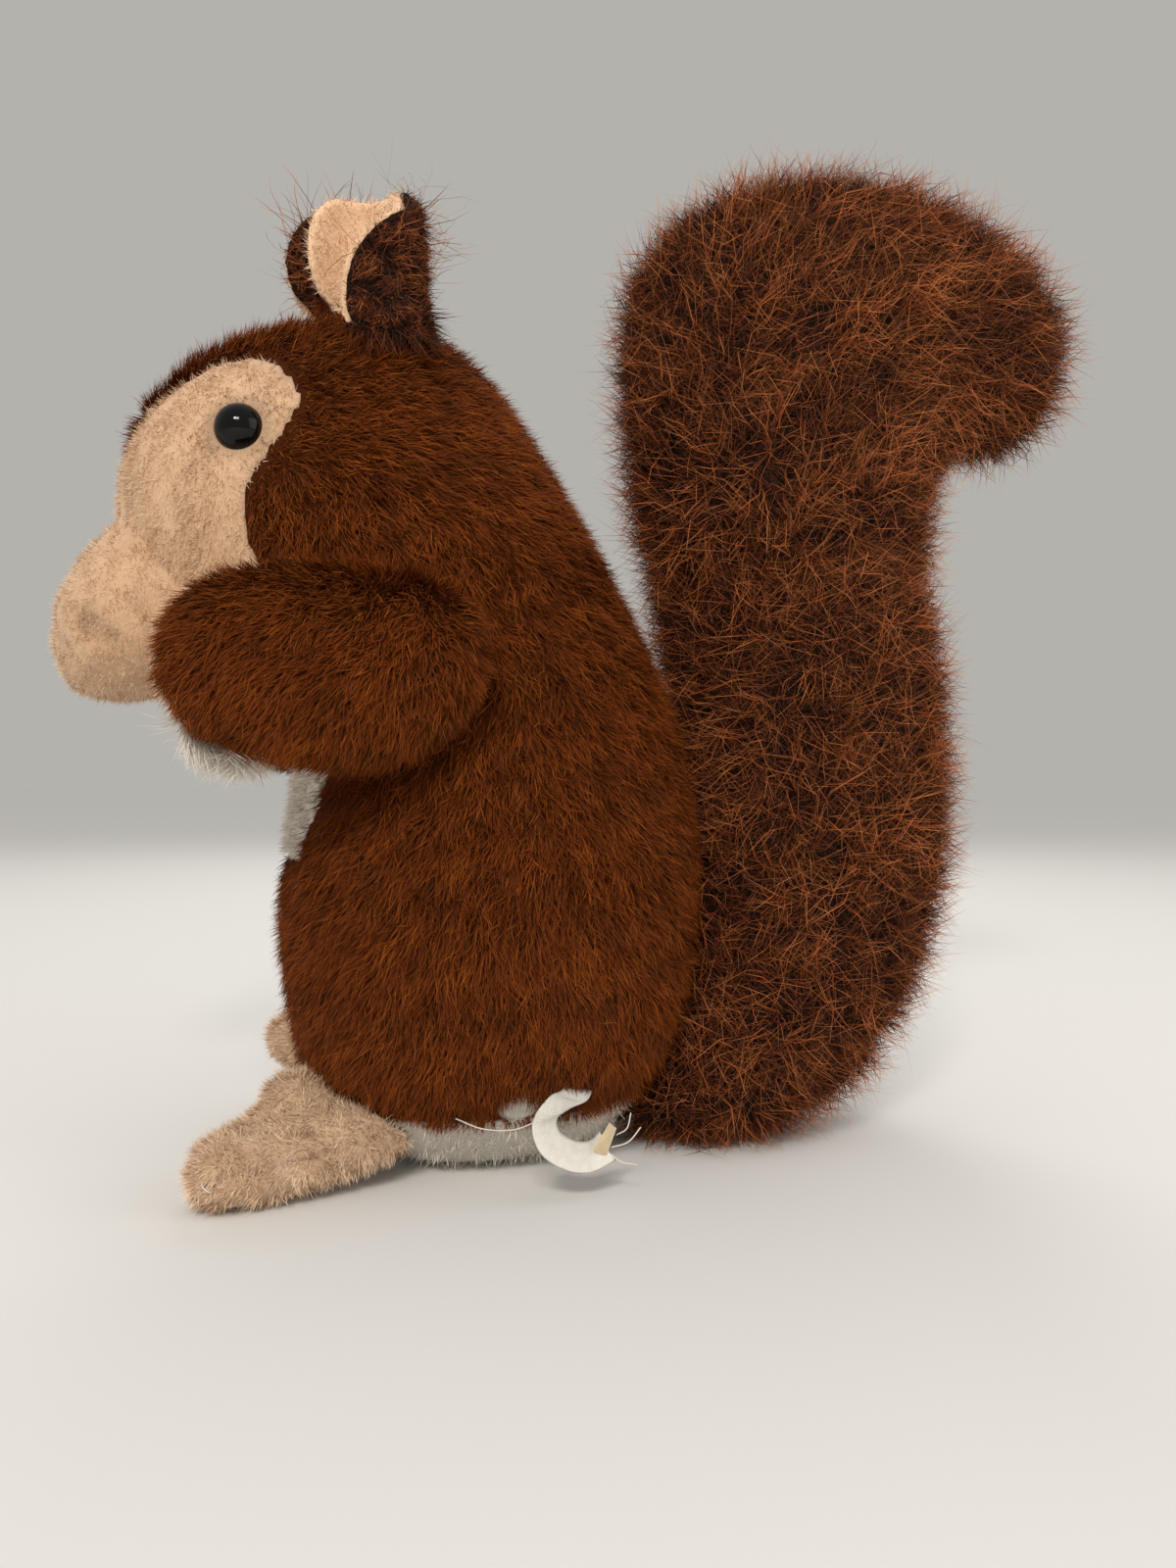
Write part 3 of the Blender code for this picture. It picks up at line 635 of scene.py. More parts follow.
def pile(name, ground, count, length, width, lean, comb, finish, slot, seed,
         segments=1, ruffle=0.25, curl=0.0, clump=0.0, clump_size=2.0, vary=0.35, shorten=None, highest=None,
         tone=0.5, tone_size=9.0, tone_spread=0.17, patches=0.2, darken=None):
    """A coat of strands, each a narrow tapered blade of one or more segments. Sizes in mm.

    lean is 0 where strands stand up and 1 where they lie flat the way that comb says. clump draws the tips
    of near strands together, and highest is as far as a tip stands off the cloth. tone is 0 for the dark end
    of the finish and 1 for the light end; it changes in patches and from strand to strand.
    """
    count = int(count * STRAND_SHARE)
    rng = np.random.default_rng(seed)
    roots, normals = ground.roots(count, seed + 1)
    flow = comb(roots, normals)
    flow = unit(flow - normals * (flow * normals).sum(axis=1, keepdims=True))
    jitter = rng.normal(size=(count, 3)) * ruffle + waves(roots, 6.0, seed + 2) * ruffle * 0.8
    lengths = length * MM * (1 + vary * rng.uniform(-1, 1, count))
    if shorten is not None:
        lengths = lengths * shorten(roots)
    start = unit(normals * (1 - lean * 0.7) + flow * lean * 0.7 + jitter * 0.6)
    end = unit(normals * (1 - lean) * 0.8 + flow * (lean + 0.15) + jitter * 1.3)
    twist = unit(rng.normal(size=(count, 3))) * curl
    points = [roots]
    for number in range(segments):
        share = (number + 0.5) / segments
        turn = twist * sin(2 * pi * share)
        step = unit(start * (1 - share) + end * share + turn) * lengths[:, None] / segments
        points.append(points[-1] + step)
    if clump > 0:
        every = max(1, int(count * (clump_size * MM) ** 2 / ground.areas.sum()))
        tree = point_tree(roots[::every])
        leader = np.array([tree.find(root)[1] for root in roots]) * every
        pull = clump * rng.uniform(0.6, 1.0, count)[:, None]
        for number in range(1, segments + 1):
            share = (number / segments) ** 1.3
            points[number] = points[number] + (points[number][leader] - points[number]) * pull * share
    if highest is not None:
        for number in range(1, segments + 1):
            rise = ((points[number] - roots) * normals).sum(axis=1)
            over = np.maximum(rise - highest * MM * number / segments, 0)
            points[number] = points[number] - over[:, None] * normals
    points[0] = roots - normals * 0.3 * MM
    for row in points:
        row[:, 2] = np.maximum(row[:, 2], FLOOR_CLEARANCE)
    flat = np.cross(points[-1] - roots, normals)
    sideways = unit(flat + rng.normal(size=(count, 3)) * lengths[:, None] * 0.35)
    half = width * MM / 2 * rng.uniform(0.7, 1.3, count)[:, None] * sideways
    tones = tone + waves(roots, tone_size, seed + 3)[:, 0] * patches + rng.normal(size=count) * tone_spread
    if darken is not None:
        tones = tones - darken(roots)
    tones = tones.clip(0.03, 0.97)
    corners = []
    rows = []
    for number in range(segments):
        slim = 1 - 0.55 * number / segments
        rows += [points[number] - half * slim, points[number] + half * slim]
        along = max(0.02, number / segments)
        corners += [(-0.01, along), (0.01, along)]
    rows.append(points[-1])
    corners.append((0.0, 0.98))
    triangles = []
    for number in range(segments - 1):
        low = 2 * number
        triangles += [low, low + 1, low + 3, low, low + 3, low + 2]
    low = 2 * (segments - 1)
    triangles += [low, low + 1, low + 2]
    per_strand = len(rows)
    first = np.arange(count)[:, None] * per_strand
    faces = (first + np.array(triangles)).reshape(-1, 3)
    mesh = bpy.data.meshes.new(name)
    mesh.from_pydata(np.stack(rows, axis=1).reshape(-1, 3), [], faces)
    uv = mesh.uv_layers.new(name=UV_NAME)
    places = np.tile(np.array(corners)[triangles], (count, 1))
    places[:, 0] += np.repeat(tones, len(triangles))
    uv.data.foreach_set("uv", places.astype(np.float32).ravel())
    if segments > 1:
        mesh.shade_smooth()
    return new_piece(name, mesh, finish, slot)


def near_nodes(nodes, reach, least):
    """Pile is shorter within reach mm of other pieces, down to the least share of its length."""
    trees = [node_tree(node) for node in nodes]

    def share(roots):
        apart = np.full(len(roots), reach * MM)
        for tree in trees:
            for index, root in enumerate(roots):
                found = tree.find_nearest(Vector(root), reach * MM)
                if found[0] is not None:
                    apart[index] = min(apart[index], found[3])
        return least + (1 - least) * (apart / (reach * MM))

    return share


def near_points(points, reach, least):
    """Pile is shorter within reach mm of points such as those of a seam."""
    tree = point_tree(points)

    def share(roots):
        apart = np.array([tree.find(root)[2] for root in roots]) / (reach * MM)
        return least + (1 - least) * apart.clip(0, 1)

    return share


def both(*shares):
    """The product of several shares of length."""
    def share(roots):
        total = np.ones(len(roots))
        for part in shares:
            total = total * part(roots)
        return total

    return share


# Dents of the nose, as (place, depth, radius) on the left side
NOSE_DENTS = [
    ((-84.7, -17.1, 118.1), 3.1, 2.6),
    ((-80.0, -17.7, 114.6), 2.0, 1.9),
    ((-89.3, -12.1, 112.5), 1.8, 2.5),
]
# The tail's curl is fuller at its lower corner than the skin, and a crease crosses the side below it
TAIL_BULGES = [((141.0, -4.0, 177.0), -7.0, 15.0)]
TAIL_CREASE = (
    [
        (58.0, -8.0, 133.0), (70.0, -20.0, 134.0), (88.0, -24.0, 135.0), (104.0, -20.0, 134.0),
        (116.0, -8.0, 134.0),
    ],
    2.4, 4.0,
)
# Creases of the left foot, as (places, depth, width): over the instep, at the ankle and between the toes
FOOT_CREASES = [
    (
        [
            (-56.2, -35.0, 8.9), (-47.0, -33.5, 9.2), (-37.5, -32.4, 10.4), (-26.0, -30.0, 14.0),
            (-16.0, -27.0, 17.0),
        ],
        1.3, 1.2,
    ),
    ([(-49.9, -25.1, 15.1), (-44.0, -28.5, 14.2), (-34.5, -29.6, 15.2)], 1.1, 1.6),
    ([(-62.0, -31.0, 8.0), (-60.5, -34.0, 7.2), (-58.0, -35.4, 6.6)], 0.8, 1.1),
]
TAIL_PILE_DEPTH = 2.2  # the tail's solid takes in the thick of its pile, and the cloth lies this much deeper
EYE_PLUG = (EYE_BACK[0] + 1.2, -EYE_BACK[1] - 5.5, EYE_BACK[2] - 0.6)  # fills the room behind an eye
EYE_PLUG_RADIUS = 6.2


def on_side(side, place):
    """A place that is given for the right side, mirrored where the side is the left."""
    return (place[0], -place[1] if side == "left" else place[1], place[2])


# The body, with its face, muzzle, belly and base

plugs = [(on_side(side, EYE_PLUG), EYE_PLUG_RADIUS) for side in SIDES]
body = skin_over("body_skin", BODY_NODES, VOXEL["body"], plugs)
tail = skin_over("tail_skin", ["tail"], VOXEL["tail"])
set_coordinates(tail.data, coordinates(tail.data) - vertex_normals(tail.data) * TAIL_PILE_DEPTH * MM)
arms = {}
feet = {}
for side in SIDES:
    arms[side] = skin_over(f"arm_skin_{side}", [f"arm_{side}", f"arm_lining_{side}"], VOXEL["arm"])
for side in SIDES:
    feet[side] = skin_over(f"foot_skin_{side}", [f"foot_{side}"], VOXEL["foot"])
stuffed = [(body, SWELL["body"]), (tail, SWELL["tail"])]
stuffed += [(arm, SWELL["arm"]) for arm in arms.values()] + [(foot, SWELL["foot"]) for foot in feet.values()]
fill_with_stuffing(stuffed)
for piece, _ in stuffed:
    subdivided(piece)

body_places = coordinates(body.data)
owner = nearest_node(body_places, BODY_NODES)
parts = {node: owner == index for index, node in enumerate(BODY_NODES)}
# Cloth of the face runs on to the nose, with no plush between them
faces_mask = parts["face_panel_left"] | parts["face_panel_right"]
between = parts["trunk"] & (distance_to(body_places, body_places[parts["muzzle"]]) < NOSE_SEAM_REACH * MM)
between &= distance_to(body_places, body_places[faces_mask]) < NOSE_SEAM_REACH * MM
parts["muzzle"] |= between
parts["trunk"] &= ~between
for node in BODY_NODES[1:5]:
    sink_seam(body, parts[node], 0.5, 1.8)
sunk = coordinates(body.data)
sunk[parts["base_panel"]] -= vertex_normals(body.data)[parts["base_panel"]] * BASE_RISE * MM
set_coordinates(body.data, sunk)


def dent(piece, dents):
    """Presses dents in, given as (place, depth, radius)."""
    places = coordinates(piece.data)
    normals = vertex_normals(piece.data)
    for centre, depth, radius in dents:
        apart = np.linalg.norm(places - np.array(centre) * MM, axis=1)
        places -= normals * (depth * MM * np.exp(-((apart / (radius * MM)) ** 2)))[:, None]
    set_coordinates(piece.data, places)


def on_both_sides(dents):
    return dents + [((x, -y, z), depth, radius) for (x, y, z), depth, radius in dents]


dent(body, on_both_sides(NOSE_DENTS))


def painted_shade(places):
    """Painted shade on the velour: soft dark smudges in the dents of the nose and a shade round each eye."""
    total = np.zeros(len(places))
    for centre, depth, radius in on_both_sides(NOSE_DENTS):
        apart = np.linalg.norm(places - np.array(centre) * MM, axis=1) / (radius * MM)
        total += 0.32 * depth * np.exp(-(apart ** 2))
    for side in SIDES:
        eye = np.array(on_side(side, (EYE_BACK[0], -EYE_BACK[1], EYE_BACK[2]))) * MM
        past_rim = (np.linalg.norm(places - eye, axis=1) / MM - EYE_RADIUS).clip(0, None)
        total += 0.55 * np.exp(-((past_rim / 2.2) ** 2))
    return total


def set_shade_and_hem(piece, values):
    stain = piece.data.attributes.new(SHADE_AND_HEM, "FLOAT", "POINT")
    stain.data.foreach_set("value", values.astype(np.float32))


def finished(piece, name, finish, slot, *nodes):
    """Names a skin, gives it its cloth and lets it stand for its nodes."""
    piece.name = name
    piece.data.shade_smooth()
    piece.data.materials.clear()
    piece.data.materials.append(finish)
    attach(piece, "root")
    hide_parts(*nodes)
    return piece


finished(body, "trunk_cloth", BROWN_BACKING, "brown_plush", "trunk")
faces = {
    side: panel_from(
        body, parts[f"face_panel_{side}"], f"face_velour_{side}", BEIGE_VELOUR, "velour", f"face_panel_{side}"
    )
    for side in SIDES
}
panel_from(body, parts["belly_panel"], "belly_cloth", BELLY_BACKING, "white_plush", "belly_panel")
panel_from(
    body, parts["base_panel"], "base_cloth", SHADED_BASE_BACKING, "white_plush", "base_panel", rise=BASE_RISE
)

finished(tail, "tail_cloth", DARK_BACKING, "long_pile", "tail")

muzzle = panel_from(
    body, parts["muzzle"], "muzzle_cloth", BEIGE_VELOUR, "velour", "muzzle", rise=0.5, spread=2
)
# Painted shade on the face and the nose, in the dents and round the eyes
for piece in (*faces.values(), muzzle):
    set_shade_and_hem(piece, painted_shade(coordinates(piece.data)).clip(0, 1))

palm_masks = {}
for side, arm in arms.items():
    nodes = (f"arm_{side}", f"arm_lining_{side}")
    palm_masks[side] = nearest_node(coordinates(arm.data), nodes) == 1
    sink_seam(arm, palm_masks[side], 0.6, 1.5)
    finished(arm, f"arm_cloth_{side}", BROWN_BACKING, "brown_plush", nodes[0])
    panel_from(
        arm, palm_masks[side], f"palm_velour_{side}", BEIGE_VELOUR, "velour", nodes[1], thickness=1.0
    )


def groove(piece, path, depth, width):
    """Presses a crease in along a path of places in mm."""
    press_in(piece, np.array(along_curve(path, 8)) * MM, depth, width)


for crease in FOOT_CREASES:
    groove(feet["left"], *crease)
for side, foot in feet.items():
    finished(foot, f"foot_cloth_{side}", FOOT_VELOUR, "velour", f"foot_{side}")


# Ears: thin cupped sheets, rounded at the edges

EAR_RISE = 4.5
EAR_REACH = 2.2


def open_ear(piece, foot):
    """The inner wall of an ear stands taller and further forward. Foot is the height it starts at, in mm."""
    places = coordinates(piece.data)
    _, y, z = (places / MM).T
    inner = ((28 - abs(y)) / 9).clip(0, 1)
    places[:, 2] += inner * ((z - foot - 12) / 19).clip(0, 1) * EAR_RISE * MM
    places[:, 0] -= inner * ((z - foot - 3) / 12).clip(0, 1) * EAR_REACH * MM
    set_coordinates(piece.data, places)


ears = {}
for side in SIDES:
    for part, finish, slot in (("back", DARK_BACKING, "long_pile"), ("lining", CREAM_VELOUR, "cream_velour")):
        node = f"ear_{part}_{side}"
        skin = skin_over(f"{node}_skin", [node], VOXEL["ear"])
        ears[part, side] = finished(skin, f"{node}_cloth", finish, slot, node)
        open_ear(ears[part, side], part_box(node)[0][2] / MM)


# Eyes

def make_eye(side):
    """A polished dome on a short skirt, turned from its section, sunk a little in the velour."""
    sign = -1 if side == "left" else 1
    axis = Vector((EYE_AXIS[0], -sign * EYE_AXIS[1], EYE_AXIS[2]))
    back = Vector((EYE_BACK[0], -sign * EYE_BACK[1], EYE_BACK[2])) * MM
    bm = bmesh.new()
    section = [(0.0, EYE_HEIGHT)]
    section += [(EYE_RADIUS * sin(pi / 2 * i / 12), EYE_HEIGHT * cos(pi / 2 * i / 12)) for i in range(1, 13)]
    section += [(EYE_RADIUS - 0.15, -0.25), (EYE_RADIUS - 1.2, -0.4), (0.0, -0.4)]
    line = [bm.verts.new((radius * MM, 0, height * MM)) for radius, height in section]
    edges = [bm.edges.new(pair) for pair in zip(line, line[1:])]
    bmesh.ops.spin(
        bm, geom=line + edges, cent=(0, 0, 0), axis=(0, 0, 1), angle=2 * pi, steps=48, use_merge=True
    )
    bmesh.ops.remove_doubles(bm, verts=bm.verts, dist=0.001 * MM)
    bmesh.ops.recalc_face_normals(bm, faces=bm.faces)
    bm.transform(Matrix.Translation(back) @ axis.to_track_quat("Z", "Y").to_matrix().to_4x4())
    mesh = mesh_from(bm, f"eye_{side}_dome")
    mesh.shade_smooth()
    new_piece(f"eye_dome_{side}", mesh, EYE_BLACK, "black_plastic", f"eye_{side}")


def washer_finish():
    """Clear moulded plastic, a little cloudy."""
    finish = Finish("washer_plastic", Roughness=0.4)
    clouds = finish.noise(300.0)
    return finish.set(Base_Color=finish.mix(clouds, shade(200, 200, 198), shade(222, 222, 220)))


WASHER = washer_finish()
for side in SIDES:
    make_eye(side)
    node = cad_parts[f"eye_washer_{side}"]
    node.data.materials.clear()
    node.data.materials.append(WASHER)


# Ribbon label, a folded tape that curls round from the seam

LABEL_PATH = [
    ((15.6, -31.0, 20.8), (-0.97, -0.06, 0.23)),
    ((13.0, -37.0, 20.4), (-0.90, -0.21, 0.39)),
    ((8.9, -41.0, 20.2), (-0.77, -0.41, 0.48)),
    ((5.4, -43.0, 17.4), (-0.89, -0.46, 0.04)),
    ((6.5, -43.5, 13.1), (-0.77, -0.49, -0.40)),
    ((10.7, -43.0, 10.1), (-0.49, -0.56, -0.66)),
    ((15.0, -42.0, 9.2), (-0.16, -0.60, -0.78)),
    ((19.2, -40.5, 10.6), (0.28, -0.53, -0.80)),
]
LABEL_WIDTH = 6.5
LABEL_THICKNESS = 0.35
LABEL_STEPS = 8
LABEL_COLUMNS = 8


def make_label():
    """A grid that is laid along the label's path, with the thickness of the tape."""
    rows = along_curve([(*middle, *across) for middle, across in LABEL_PATH], LABEL_STEPS)
    middles = [Vector(row[:3]) for row in rows]
    acrosses = [Vector(row[3:]).normalized() for row in rows]
    bm = bmesh.new()
    bmesh.ops.create_grid(bm, x_segments=LABEL_COLUMNS, y_segments=len(rows) - 1, size=0.5)
    uv = bm.loops.layers.uv.new(UV_NAME)
    for face in bm.faces:
        for loop in face.loops:
            loop[uv].uv = (loop.vert.co.x + 0.5, loop.vert.co.y + 0.5)
    for vert in bm.verts:
        row = round((vert.co.y + 0.5) * (len(rows) - 1))
        cupped = Vector((0.0, 0.0, 0.35)) * cos(pi * vert.co.x) * sin(row * 0.5)
        frayed = 0.5 * sin(vert.co.x * 40) if row == len(rows) - 1 else 0.0
        along = (middles[-1] - middles[-2]).normalized() * frayed
        vert.co = (middles[row] + acrosses[row] * LABEL_WIDTH * vert.co.x + cupped + along) * MM
    bmesh.ops.solidify(bm, geom=bm.faces, thickness=LABEL_THICKNESS * MM)
    bmesh.ops.recalc_face_normals(bm, faces=bm.faces)
    mesh = mesh_from(bm, "label_tape")
    mesh.shade_smooth()
    new_piece("label_tape", mesh, SATIN, "ribbon", "label")


make_label()

# The tape's raw end, folded up, as its corners
LABEL_END = [(15.7, -42.0, 10.2), (18.4, -42.0, 8.5), (21.0, -41.0, 14.0), (19.5, -40.7, 15.2)]


def make_label_end():
    """A small cream flap, folded over at the end of the tape."""
    bm = bmesh.new()
    face = bm.faces.new([bm.verts.new(Vector(corner) * MM) for corner in LABEL_END])
    bmesh.ops.solidify(bm, geom=[face], thickness=LABEL_THICKNESS * MM)
    bmesh.ops.recalc_face_normals(bm, faces=bm.faces)
    new_piece("label_end", mesh_from(bm, "label_end"), TAPE_END, "ribbon")


make_label_end()


# Loose ends of sewing thread, each as its places, and their radius

THREADS = {
    "heel_thread": [(-11.0, -32.5, 16.0), (-6.0, -36.0, 14.5), (0.0, -38.5, 14.6), (5.0, -40.0, 16.6)],
    "seam_thread": [(21.5, -39.0, 12.0), (23.5, -40.0, 13.5), (24.5, -39.5, 16.5)],
    "label_thread": [(20.0, -40.5, 10.0), (23.5, -41.0, 11.0), (26.5, -40.0, 13.5)],
    "frayed_thread": [(19.5, -41.5, 9.0), (21.5, -43.0, 7.6), (24.5, -43.5, 7.0)],
    "toe_stitch": [(-60.6, -34.0, 7.6), (-60.2, -35.8, 7.2), (-59.2, -36.0, 6.4), (-58.6, -34.6, 6.0)],
}
THREAD_RADIUS = 0.14


def make_thread(name, places):
    """A thread swept along a smooth curve."""
    curve = bpy.data.curves.new(name, "CURVE")
    curve.dimensions = "3D"
    curve.bevel_depth = THREAD_RADIUS * MM
    curve.bevel_resolution = 1
    curve.use_fill_caps = True
    points = along_curve(places, 6)
    spline = curve.splines.new("POLY")
    spline.points.add(len(points) - 1)
    for point, place in zip(spline.points, points):
        point.co = (*(place * MM), 1.0)
    drawn = placed(name + "_drawn", curve)
    graph = bpy.context.evaluated_depsgraph_get()
    mesh = bpy.data.meshes.new_from_object(drawn.evaluated_get(graph))
    bpy.data.objects.remove(drawn)
    new_piece(name, mesh, THREAD_WHITE, "ribbon")


for name, places in THREADS.items():
    make_thread(name, places)


# Pile directions

def comb_body(places, normals):
    """Swept back over the head, then down the sides, and a little forward low on the front."""
    x, y, z = (places / MM).T
    head = ((z - 125) / 45).clip(0, 1)
    low_front = ((-x + 10) / 45).clip(0, 1) * ((125 - z) / 60).clip(0, 1)
    flow = np.zeros_like(places)
    flow[:, 0] = head * 1.3 - low_front * 0.5 + 0.1
    flow[:, 2] = -1.0 + head * 0.55
    return flow + waves(places, 30.0, 5) * 0.2 + waves(places, 10.0, 6) * 0.1


def comb_tail(places, normals):
    """Tangled, mostly up the tail and out along the curl. It lies sideways over the crease."""
    x, y, z = (places / MM).T
    curl = ((z - 165) / 30).clip(0, 1) * ((x - 55) / 30).clip(0, 1)
    flow = np.zeros_like(places)
    flow[:, 0] = curl * 1.3 + 0.15
    flow[:, 2] = 0.4 - curl * 0.4
    crease = np.exp(-(((z - 133) / 7) ** 2))
    flow[:, 0] += crease * 1.4
    return flow + waves(places, 12.0, 15) * (0.7 - 0.35 * curl[:, None]) + waves(places, 4.5, 16) * 0.5


def comb_arm(places, normals):
    """Down and forward to the paw, and straight down nearer the shoulder."""
    x, y, z = (places / MM).T
    flow = np.zeros_like(places)
    flow[:, 0] = -0.75 * ((-x - 12) / 25).clip(0, 1)
    flow[:, 2] = -1.0
    return flow + waves(places, 14.0, 25) * 0.22 + waves(places, 5.0, 26) * 0.12


def comb_down(places, normals):
    flow = np.tile((-0.2, 0.0, -1.0), (len(places), 1))
    return flow + waves(places, 6.0, 35) * 0.6


def comb_loose(places, normals):
    return waves(places, 8.0, 45) + np.array((-0.3, 0.0, 0.2))


def comb_up(places, normals):
    return np.tile((0.25, 0.0, 1.0), (len(places), 1)) + waves(places, 6.0, 57) * 0.8


def comb_to_toe(places, normals):
    flow = np.tile((-1.0, 0.0, -0.4), (len(places), 1))
    return flow + waves(places, 7.0, 65) * 0.5


def tail_shades(roots):
    """The tail is lighter low down, along its crease and in a streak of rust on the curl."""
    x, y, z = (roots / MM).T
    low = ((95 - z) / 60).clip(0, 1) * 0.14
    crease = np.exp(-(((z - 136) / 4) ** 2)) * (y < 0) * 0.22
    streak = np.exp(-(((z - 186 + (x - 100) * 0.5) / 6) ** 2) - ((x - 108) / 16) ** 2) * (y < 0) * 0.35
    return -(low + crease + streak)


def pale_rim(roots):
    """The foot is paler along its lower rim."""
    return -0.3 * np.exp(-(((roots[:, 2] / MM - 5) / 3.5) ** 2))


# Growing the pile

ARM_NODES = ["arm_left", "arm_right", "arm_lining_left", "arm_lining_right"]
FOOT_NODES = ["foot_left", "foot_right"]
EAR_NODES = ["ear_back_left", "ear_back_right"]

body_places = coordinates(body.data)
heights = body_places[:, 2] / MM
hidden = covered_by(body_places, ["tail", *ARM_NODES, *FOOT_NODES, *EAR_NODES], 0.6)
velour_area = parts["face_panel_left"] | parts["face_panel_right"] | parts["muzzle"]
white_area = parts["belly_panel"] | parts["base_panel"]
bare = np.linalg.norm(body_places - np.array(BARE_SPOT) * MM, axis=1) < BARE_RADIUS * MM
browned = parts["belly_panel"] & (heights < BELLY_WHITE_FROM)
browned |= parts["base_panel"] & (heights > BASE_BROWN_FROM) & ~bare


def plush_on_body():
    """Short brown pile, shorter near the velour, the white cloth and the limbs."""
    length = both(
        near_points(body_places[borders(body.data, velour_area)], 6.0, 0.4),
        near_points(body_places[borders(body.data, white_area & ~browned)], 5.0, 0.6),
        near_nodes([*ARM_NODES, *FOOT_NODES], 5.0, 0.35),
    )
    ground = Ground(body, (parts["trunk"] | browned) & ~hidden)
    pile("body_under_pile", ground, BODY_UNDER, 4.3, 0.36, 0.64, comb_body, BROWN_UNDER, "brown_plush", 100,
         ruffle=0.2, tone_size=13.0, shorten=length)
    pile("body_pile", ground, BODY_LOCKS, 5.0, 0.26, 0.7, comb_body, BROWN, "brown_plush", 110, segments=2,
         ruffle=0.24, clump=0.12, clump_size=1.5, tone_size=13.0, tone_spread=0.24, vary=0.5,
         shorten=length, highest=3.2)


def shag_on_tail():
    """Long tangled pile: a dark coat, rust-tipped locks over it and a few fine wisps."""
    dent(tail, TAIL_BULGES)
    groove(tail, *TAIL_CREASE)
    places = coordinates(tail.data)
    ground = Ground(tail, ~covered_by(places, ["trunk"], 0.6) & (places[:, 2] > 0.8 * MM))
    length = near_nodes(["trunk"], 6.0, 0.45)
    mottled = {"tone_size": 7.0, "patches": 0.46, "darken": tail_shades}
    pile("tail_under_pile", ground, TAIL_UNDER, 8.0, 0.32, 0.55, comb_tail, DARK_UNDER, "long_pile", 200,
         ruffle=0.8, clump=0.35, clump_size=3.0, tone=0.36, tone_spread=0.12, highest=5.0, shorten=length,
         **mottled)
    pile("tail_pile", ground, TAIL_LOCKS, 14.0, 0.22, 0.6, comb_tail, RUST, "long_pile", 210, segments=2,
         ruffle=0.7, curl=0.35, clump=0.28, clump_size=3.5, tone=0.42, tone_spread=0.22, highest=8.5,
         vary=0.55, shorten=length, **mottled)
    pile("tail_wisps", ground, TAIL_WISPS, 15.0, 0.13, 0.3, comb_tail, RUST, "long_pile", 220, segments=2,
         ruffle=0.6, curl=0.3, tone=0.85, tone_size=7.0, highest=12.0, vary=0.5, shorten=length)


def coats_on_arm(side, number):
    """Brown plush outside, fuzz on the palm and a pale tuft that hangs from the paw."""
    arm, palm = arms[side], palm_masks[side]
    places = coordinates(arm.data)
    shown = ~covered_by(places, ["trunk", f"face_panel_{side}"], 0.6)
    ground = Ground(arm, ~palm & shown)
    length = near_points(places[borders(arm.data, palm)], 5.0, 0.55)
    pile(f"arm_under_pile_{side}", ground, ARM_UNDER, 4.2, 0.36, 0.62, comb_arm, BROWN_UNDER, "brown_plush",
         300 + number, ruffle=0.2, tone=0.56, tone_size=12.0, shorten=length)
    pile(f"arm_pile_{side}", ground, ARM_LOCKS, 4.8, 0.26, 0.68, comb_arm, BROWN, "brown_plush",
         310 + number, segments=2, ruffle=0.22, clump=0.12, clump_size=1.5, tone=0.58, tone_size=12.0,
         tone_spread=0.22, shorten=length, highest=3.0)
    pile(f"palm_fuzz_{side}", Ground(arm, palm & shown), PALM_FUZZ, 2.6, 0.32, 0.4, comb_down, CREAM_FUZZ,
         "velour", 320 + number, ruffle=0.5)
    tuft = palm & (places[:, 2] < 98 * MM) & (places[:, 0] < -50 * MM)
    pile(f"palm_tuft_{side}", Ground(arm, tuft), PALM_TUFT, 9.0, 0.34, 0.85, comb_down, WHITE_PILE,
         "white_plush", 330 + number, segments=2, ruffle=0.25, clump=0.35, tone=0.4, vary=0.4)


